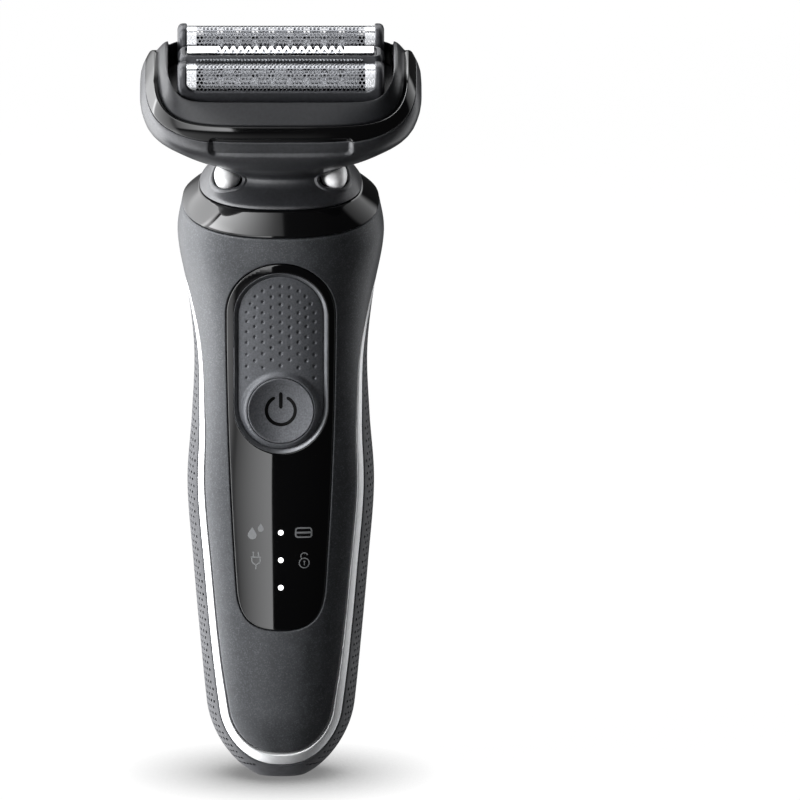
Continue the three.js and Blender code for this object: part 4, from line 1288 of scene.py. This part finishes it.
def tunnel(radius, low, end_round=0.0, half_length=HOLDER_HALF_LENGTH, cap=0.0):
    """Surface of an arched tunnel along X: x and a share of its side-view path.

    Past half_length, the surface closes towards the arch's middle over the cap length.
    """
    rise = ARCH_HEIGHT - low
    length = 2 * rise + math.pi * radius

    def place(x, share):
        along = share * length
        angle = np.clip((along - rise) / radius, 0, math.pi)
        beyond = np.clip(np.abs(x) - half_length, 0, None)
        inward = np.clip(np.abs(x) - (half_length - end_round), 0, end_round)
        inset = end_round - np.sqrt(np.maximum(end_round**2 - inward**2, 0))
        keep = np.clip(1 - beyond / cap, 0.02, 1) if cap else 1.0
        r = (radius - inset) * keep
        y = -r * np.cos(angle)
        down = np.maximum(rise - along, 0) + np.maximum(along - length + rise, 0)
        z = ARCH_HEIGHT + r * np.sin(angle) - down
        return np.stack([np.clip(x, -half_length, half_length), y, z], axis=1)

    return place


def foil_unit(name, y):
    shift = np.array([0, y, 0])
    holder_place = tunnel(HOLDER_HALF_DEPTH, 23.2, 1.2, cap=2.0)
    cap = np.linspace(HOLDER_HALF_LENGTH, HOLDER_HALF_LENGTH + 2, 7)
    side = np.linspace(17, HOLDER_HALF_LENGTH, 26)
    middle = np.linspace(-16.5, 16.5, 40)
    xs = np.concatenate([-cap[:0:-1], -side[::-1], middle, side, cap[1:]])
    holder = surface_sheet(holder_place, xs, np.linspace(0, 1, 74))

    def outside_window(p):
        """The foil shows in a window with rounded lower corners at the front and the back."""
        return -rounded_box(p[:, 0], p[:, 2] - 34.4, 20.35, 6.1, 2.0)

    holder.trim(outside_window, 0.35)
    holder.points += shift
    shell = make_object(f"{name}_foil_frame", *holder.thick(HOLDER_WALL), FRAME_SATIN, HEAD_MATRIX)
    stand_for(shell, f"{name}_foil_holder")

    place = tunnel(FOIL_RADIUS - 0.02, 27.4, half_length=FOIL_HALF_LENGTH + 0.25)
    width = 2 * (FOIL_HALF_LENGTH + 0.25)

    def foil_place(u, v):
        return place((u - 0.5) * width, v)

    def perforated(centres):
        return (np.abs(centres[:, 0]) < FOIL_HOLES_HALF_LENGTH - 0.2).astype(float)

    sheet = pits_sheet(foil_place, 48, 18, 0.33, 0, perforated, floor=False)
    sheet.points += shift
    foil = make_object(f"{name}_foil_mesh", *sheet.thick(FOIL_WALL), FOIL, HEAD_MATRIX)
    stand_for(foil, f"{name}_foil")


def plan_ring(half_x, half_y, radius, height, count=120):
    """Rounded rectangle loop seen from above, with its points on the four corners."""
    corners = []
    steps = count // 4
    radius = min(radius, half_x - 0.01, half_y - 0.01)
    for sx, sy, start in ((1, 1, 0), (-1, 1, 90), (-1, -1, 180), (1, -1, 270)):
        turn = np.radians(np.linspace(start, start + 90, steps))
        corners.append(np.stack([
            sx * (half_x - radius) + radius * np.cos(turn),
            sy * (half_y - radius) + radius * np.sin(turn),
            np.full(steps, height),
        ], axis=1))
    return np.concatenate(corners)


def trimmer():
    outline = [
        plan_ring(22.4, 3.0, 1.6, 24.2), plan_ring(22.4, 3.0, 1.6, 29.9),
        plan_ring(21.6, 2.2, 1.3, 31.25), plan_ring(20.75, 1.75, 0.5, 31.25),
        plan_ring(20.6, 1.6, 0.4, 30.75), plan_ring(18.35, 1.25, 0.3, 30.75),
        plan_ring(18.35, 1.25, 0.3, 29.5), plan_ring(21.4, 2.3, 1.2, 28.9),
        plan_ring(21.4, 2.3, 1.2, 24.2),
    ]
    loops = rounded_loops(outline, [0.3, 0.5, 0.25, 0.15, 0.05, 0.05, 0.05, 0, 0.05])
    points, faces = loft(loops, ring=True)
    frame_body = make_object("trimmer_frame", points, faces, FRAME_SATIN, HEAD_MATRIX, flat_angle=45)
    stand_for(frame_body, "trimmer_holder")

    # Two rows of fine guard teeth along the frame's long edges.
    for name, side in (("front", -1), ("rear", 1)):
        pitch, half_length = 0.74, 18.3
        count = int(2 * half_length / pitch)
        outline = [(-half_length, 1.9)]
        for i in range(count):
            x = -half_length + i * pitch
            outline += [(x + 0.08, 2.55), (x + 0.16, 3.12), (x + 0.46, 3.12), (x + 0.54, 2.55)]
        outline.append((half_length, 1.9))
        points = np.array(outline)
        root = np.full(len(points), side * 1.9)
        tip = side * points[:, 1]
        corners = ((tip, 30.2), (tip, 30.75), (root, 30.75), (root, 30.2))
        rows = [np.column_stack([points[:, 0], y, np.full(len(points), z)]) for y, z in corners]
        points, faces = joined_rows(rows)
        teeth = make_object(f"trimmer_guard_teeth_{name}", points, faces, CUTTER, HEAD_MATRIX, flat_angle=25)
        add_bevel(teeth, 0.04, 1)
        belongs(teeth, "trimmer_unit")

    # Comb: a bright bar at each end and a zigzag of teeth between them.
    toothed, bar_end = 14.0, 20.2
    xs = np.linspace(-toothed, toothed, 17 * 16 + 1)
    phase = 2 * math.pi * 17 * (xs + toothed) / (2 * toothed)
    centre = np.stack([xs, 1.2 * np.sin(phase) - 0.1 * np.sin(3 * phase)], axis=1)
    way = np.gradient(centre, axis=0)
    way /= np.linalg.norm(way, axis=1, keepdims=True)
    across = np.stack([-way[:, 1], way[:, 0]], axis=1)
    rows = []
    for share, height in ((-1, 31.2), (-1, 31.62), (-0.75, 31.72), (0.75, 31.72), (1, 31.62), (1, 31.2)):
        line = centre + across * share * 0.26
        rows.append(np.column_stack([line, np.full(len(xs), height)]))
    points, faces = joined_rows(rows)
    starts = range(0, len(points), len(xs))
    faces += [tuple(starts), tuple(start + len(xs) - 1 for start in reversed(starts))]
    comb = make_object("trimmer_comb_teeth", points, faces, COMB, HEAD_MATRIX, flat_angle=50)
    stand_for(comb, "trimmer_comb")
    for name, side in (("left", -1), ("right", 1)):
        mid, half = side * (toothed + bar_end - 0.25) / 2, (bar_end - toothed + 0.25) / 2
        loops = [plan_ring(half, 1.4, 0.25, height, 48) + [mid, 0, 0] for height in (31.2, 31.72)]
        bar = make_object(f"trimmer_comb_bar_{name}", *loft(loops), COMB, HEAD_MATRIX)
        add_bevel(bar, 0.1, 2)
        belongs(bar, "trimmer_unit")


# ------------------------------------------------------------------ springs

def coil(radius, wire, length, turns, steps=22, around=8):
    """Closed coil of wire standing on z = 0, with its ends wound flat."""
    count = int(turns * steps) + 1
    t = np.linspace(0, 1, count)
    angle = 2 * math.pi * turns * t
    flat_share = 0.75 / turns
    climb = np.clip((t - flat_share) / (1 - 2 * flat_share), 0, 1)
    z = wire + (length - 2 * wire) * (climb * 0.94 + 0.06 * t)
    centre = np.stack([radius * np.cos(angle), radius * np.sin(angle), z], axis=1)
    way = np.gradient(centre, axis=0)
    way /= np.linalg.norm(way, axis=1, keepdims=True)
    out = np.stack([np.cos(angle), np.sin(angle), np.zeros(count)], axis=1)
    up = np.cross(way, out)
    loops = []
    for k in range(count):
        turn = np.linspace(0, 2 * math.pi, around, endpoint=False)[:, None]
        loops.append(centre[k] + wire * (np.cos(turn) * out[k] + np.sin(turn) * up[k]))
    return loft(loops)


FLOAT_SPRINGS = (  # name, y, height of the top end, the joint that squashes it, its travel
    ("front", -FOIL_PITCH, 25.8, "front_foil_float", 2.0),
    ("rear", FOIL_PITCH, 25.8, "rear_foil_float", 2.0),
    ("trimmer", 0, 26.8, "trimmer_float", 1.5),
)
FLOAT_SPRING_X = 20.2
RELEASE_SPRING_LENGTH = 2.1


def squashed_spring(name, node, points, faces, start):
    """A coil set at the start of the spring, riding on its node's body with a mesh of its own."""
    spring = make_object(name, points + start, faces, STEEL, HEAD_MATRIX, flat_angle=60)
    stand_for(spring, node)
    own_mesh(spring)


def springs():
    for place, side in (("left", -1), ("right", 1)):
        for name, y, top, joint, travel in FLOAT_SPRINGS:
            length = top - TRAY_TOP
            points, faces = coil(1.0, 0.2, length, 5)
            squashed_spring(
                f"{name}_coil_spring_{place}", f"{name}_spring_{place}", points, faces,
                [side * FLOAT_SPRING_X, y, TRAY_TOP],
            )
        points, faces = coil(0.8, 0.15, RELEASE_SPRING_LENGTH, 4, 18, 6)
        squashed_spring(
            f"release_coil_spring_{place}", f"release_spring_{place}", points[:, [2, 0, 1]] * [side, 1, 1],
            faces, [side * SPRING_INNER, *RELEASE_CENTRE[1:]],
        )


# ------------------------------------------------------------------ carried-over nodes

CARRIED_MATERIAL = {
    "power_button": BUTTON, "front_cutter": CUTTER, "rear_cutter": CUTTER, "trimmer_blade": CUTTER,
}
BEVELLED = {
    "inner_chassis": 0.15, "battery_cell": 0.4, "motor_can": 0.5, "charging_socket": 0.2, "drive_bridge": 0.2,
    "head_deck": 0.2, "cassette_tray": 0.2, "bridge_mount": 0.2, "circuit_board": 0.1, "tact_switch": 0.15,
}


def finish_carried_nodes():
    for name, obj in frame["nodes"].items():
        material = CARRIED_MATERIAL.get(name, SLOT_MATERIAL[NODE_SLOT[name]])
        obj.data.materials.clear()
        obj.data.materials.append(material)
        if name in BEVELLED and not obj.hide_render:
            add_bevel(obj, BEVELLED[name], 2)


# ------------------------------------------------------------------ studio

def floor():
    size = 6.0
    points = np.array([[-size, -size, 0], [size, -size, 0], [size, size, 0], [-size, size, 0]]) / MM
    n = Nodes("pale_floor")
    # Painted shadow: the floor's even glow is dimmed by ambient occlusion near the shaver, a painted contact
    # shadow.
    occlusion = n.add("ShaderNodeAmbientOcclusion")
    occlusion.inputs["Distance"].default_value = 0.022
    occlusion.samples = 8
    cloud = n.noise(3, 1)
    shade = n.spread(occlusion.outputs["AO"], 0.22, 1.0, 0.42, 0.98)
    level = n.add("ShaderNodeMath", operation="MULTIPLY")
    n.link(shade, level.inputs[0])
    n.link(n.spread(cloud, 0.985, 1.0, 0.3, 0.7), level.inputs[1])
    n.surface((0.02, 0.02, 0.02), 1.0, specular=0.0)
    n.link((1, 1, 1, 1), n.shader.inputs["Emission Color"])
    n.link(level.outputs[0], n.shader.inputs["Emission Strength"])
    plane = make_object("studio_floor", points, [(0, 1, 2, 3)], n.material)
    plane.location.z = -0.0002
    plane.visible_glossy = False
    plane.visible_diffuse = False


def area_light(name, azimuth, elevation, distance, width, height, power_watts, target=(0, 0, 0.085)):
    """Light at an azimuth (0 = camera side, negative = left) that reflections do not show."""
    data = bpy.data.lights.new(name, "AREA")
    data.shape = "RECTANGLE"
    data.size, data.size_y = width, height
    data.energy = power_watts
    light = bpy.data.objects.new(name, data)
    bpy.context.scene.collection.objects.link(light)
    a, e = math.radians(azimuth), math.radians(elevation)
    back = Vector((math.sin(a) * math.cos(e), -math.cos(a) * math.cos(e), math.sin(e)))
    light.location = Vector(target) + back * distance
    light.rotation_mode = "QUATERNION"
    light.rotation_quaternion = back.to_track_quat("Z", "Y")
    light.visible_glossy = False
    light.visible_camera = False


# Soft boxes seen in reflections: azimuth range, elevation range, softness of the left, right and
# level edges (degrees), the radiance at the first and at the last azimuth.
SOFT_BOXES = [
    (-40, -3.6, -30, 30, 10, 0.5, 5, 0.9, 4.6),
    (-90, -42, -80, 44, 6, 10, 12, 5.0, 1.4),
    (-70, 0, -75, -38, 14, 14, 12, 1.4, 0.3),
    (-78, 1, 32, 82, 2, 0.5, 6, 13.0, 0.6),
    (-165, -84, -50, 22, 40, 6, 8, 0.4, 8.5),
    (-170, -84, 22, 56, 30, 6, 8, 2.0, 8.0),
    (-180, -110, 48, 76, 20, 16, 8, 6.0, 6.0),
    (92, 140, -60, 70, 10, 14, 12, 0.4, 1.5),
    (140, 190, 30, 75, 16, 1, 10, 2.2, 2.2),
]
WRAP = 0.03  # radiance everywhere else in reflections
AMBIENT = 0.13  # radiance that matt surfaces see from every side


def studio_world():
    world = bpy.data.worlds.new("studio")
    bpy.context.scene.world = world
    world.use_nodes = True
    world.cycles.sampling_method = "NONE"
    tree = world.node_tree
    tree.nodes.clear()

    def node(kind, **settings):
        made = tree.nodes.new(kind)
        for key, value in settings.items():
            setattr(made, key, value)
        return made

    def maths(operation, *values):
        made = node("ShaderNodeMath", operation=operation)
        for value, target in zip(values, made.inputs):
            if isinstance(value, (int, float)):
                target.default_value = value
            else:
                tree.links.new(value, target)
        return made.outputs[0]

    def ramp(value, low, high, start=0.0, end=1.0, smooth=True):
        made = node("ShaderNodeMapRange", interpolation_type="SMOOTHSTEP" if smooth else "LINEAR")
        for socket, number in zip(("From Min", "From Max", "To Min", "To Max"), (low, high, start, end)):
            made.inputs[socket].default_value = number
        tree.links.new(value, made.inputs["Value"])
        return made.outputs["Result"]

    direction = node("ShaderNodeSeparateXYZ")
    tree.links.new(node("ShaderNodeTexCoord").outputs["Generated"], direction.inputs[0])
    x, y, z = direction.outputs
    azimuth = maths("MULTIPLY", maths("ARCTAN2", x, maths("MULTIPLY", y, -1.0)), 180 / math.pi)
    elevation = maths("MULTIPLY", maths("ARCSINE", z), 180 / math.pi)
    total = None
    for left, right, low, high, left_soft, right_soft, level_soft, first, last in SOFT_BOXES:
        box = ramp(azimuth, left, right, first, last, smooth=False)
        for value, place, soft, start, end in (
            (azimuth, left, left_soft, 0, 1), (azimuth, right, right_soft, 1, 0),
            (elevation, low, level_soft, 0, 1), (elevation, high, level_soft, 1, 0),
        ):
            box = maths("MULTIPLY", box, ramp(value, place - soft / 2, place + soft / 2, start, end))
        total = box if total is None else maths("ADD", total, box)
    glossy = maths("ADD", total, WRAP)
    path = node("ShaderNodeLightPath")
    is_glossy = path.outputs["Is Glossy Ray"]
    matt = maths("MULTIPLY", maths("SUBTRACT", 1.0, is_glossy), AMBIENT)
    strength = maths("ADD", maths("MULTIPLY", is_glossy, glossy), matt)
    background = node("ShaderNodeBackground")
    tree.links.new(strength, background.inputs["Strength"])
    background.inputs["Color"].default_value = (0.985, 0.99, 1.0, 1)
    tree.links.new(background.outputs[0], node("ShaderNodeOutputWorld").inputs[0])


def camera():
    elevation, distance, span = math.radians(12), 6.0, 0.1739
    data = bpy.data.cameras.new("camera")
    data.sensor_width = 36
    data.lens = 36 * distance / span
    data.shift_x = 0.149
    data.clip_start, data.clip_end = 0.05, 50
    view = bpy.data.objects.new("camera", data)
    bpy.context.scene.collection.objects.link(view)
    back = Vector((0, -math.cos(elevation), math.sin(elevation)))
    view.location = Vector((0, 0, 0.0827)) + back * distance
    view.rotation_mode = "QUATERNION"
    view.rotation_quaternion = back.to_track_quat("Z", "Y")
    bpy.context.scene.camera = view


def studio():
    floor()
    studio_world()
    area_light("key_left", -66, 2, 0.9, 0.5, 0.7, 24)
    area_light("rim_left", -112, 15, 0.8, 0.3, 0.7, 5)
    area_light("fill_right", 60, 20, 1.0, 0.5, 0.6, 0.3)
    area_light("rim_right", 115, 15, 0.8, 0.25, 0.7, 4)
    area_light("top", -15, 75, 0.9, 0.5, 0.5, 1)
    camera()
    bpy.context.scene.view_settings.view_transform = "Standard"


# ------------------------------------------------------------------ assembly

handle_shells()
display_panel()
pad_rim()
thumb_pad()
power_button()
icons()
neck_ring()
head_base()
release_buttons()
cassette_shell()
cassette_bezel()
foil_unit("front", -FOIL_PITCH)
foil_unit("rear", FOIL_PITCH)
trimmer()
springs()
finish_carried_nodes()
studio()
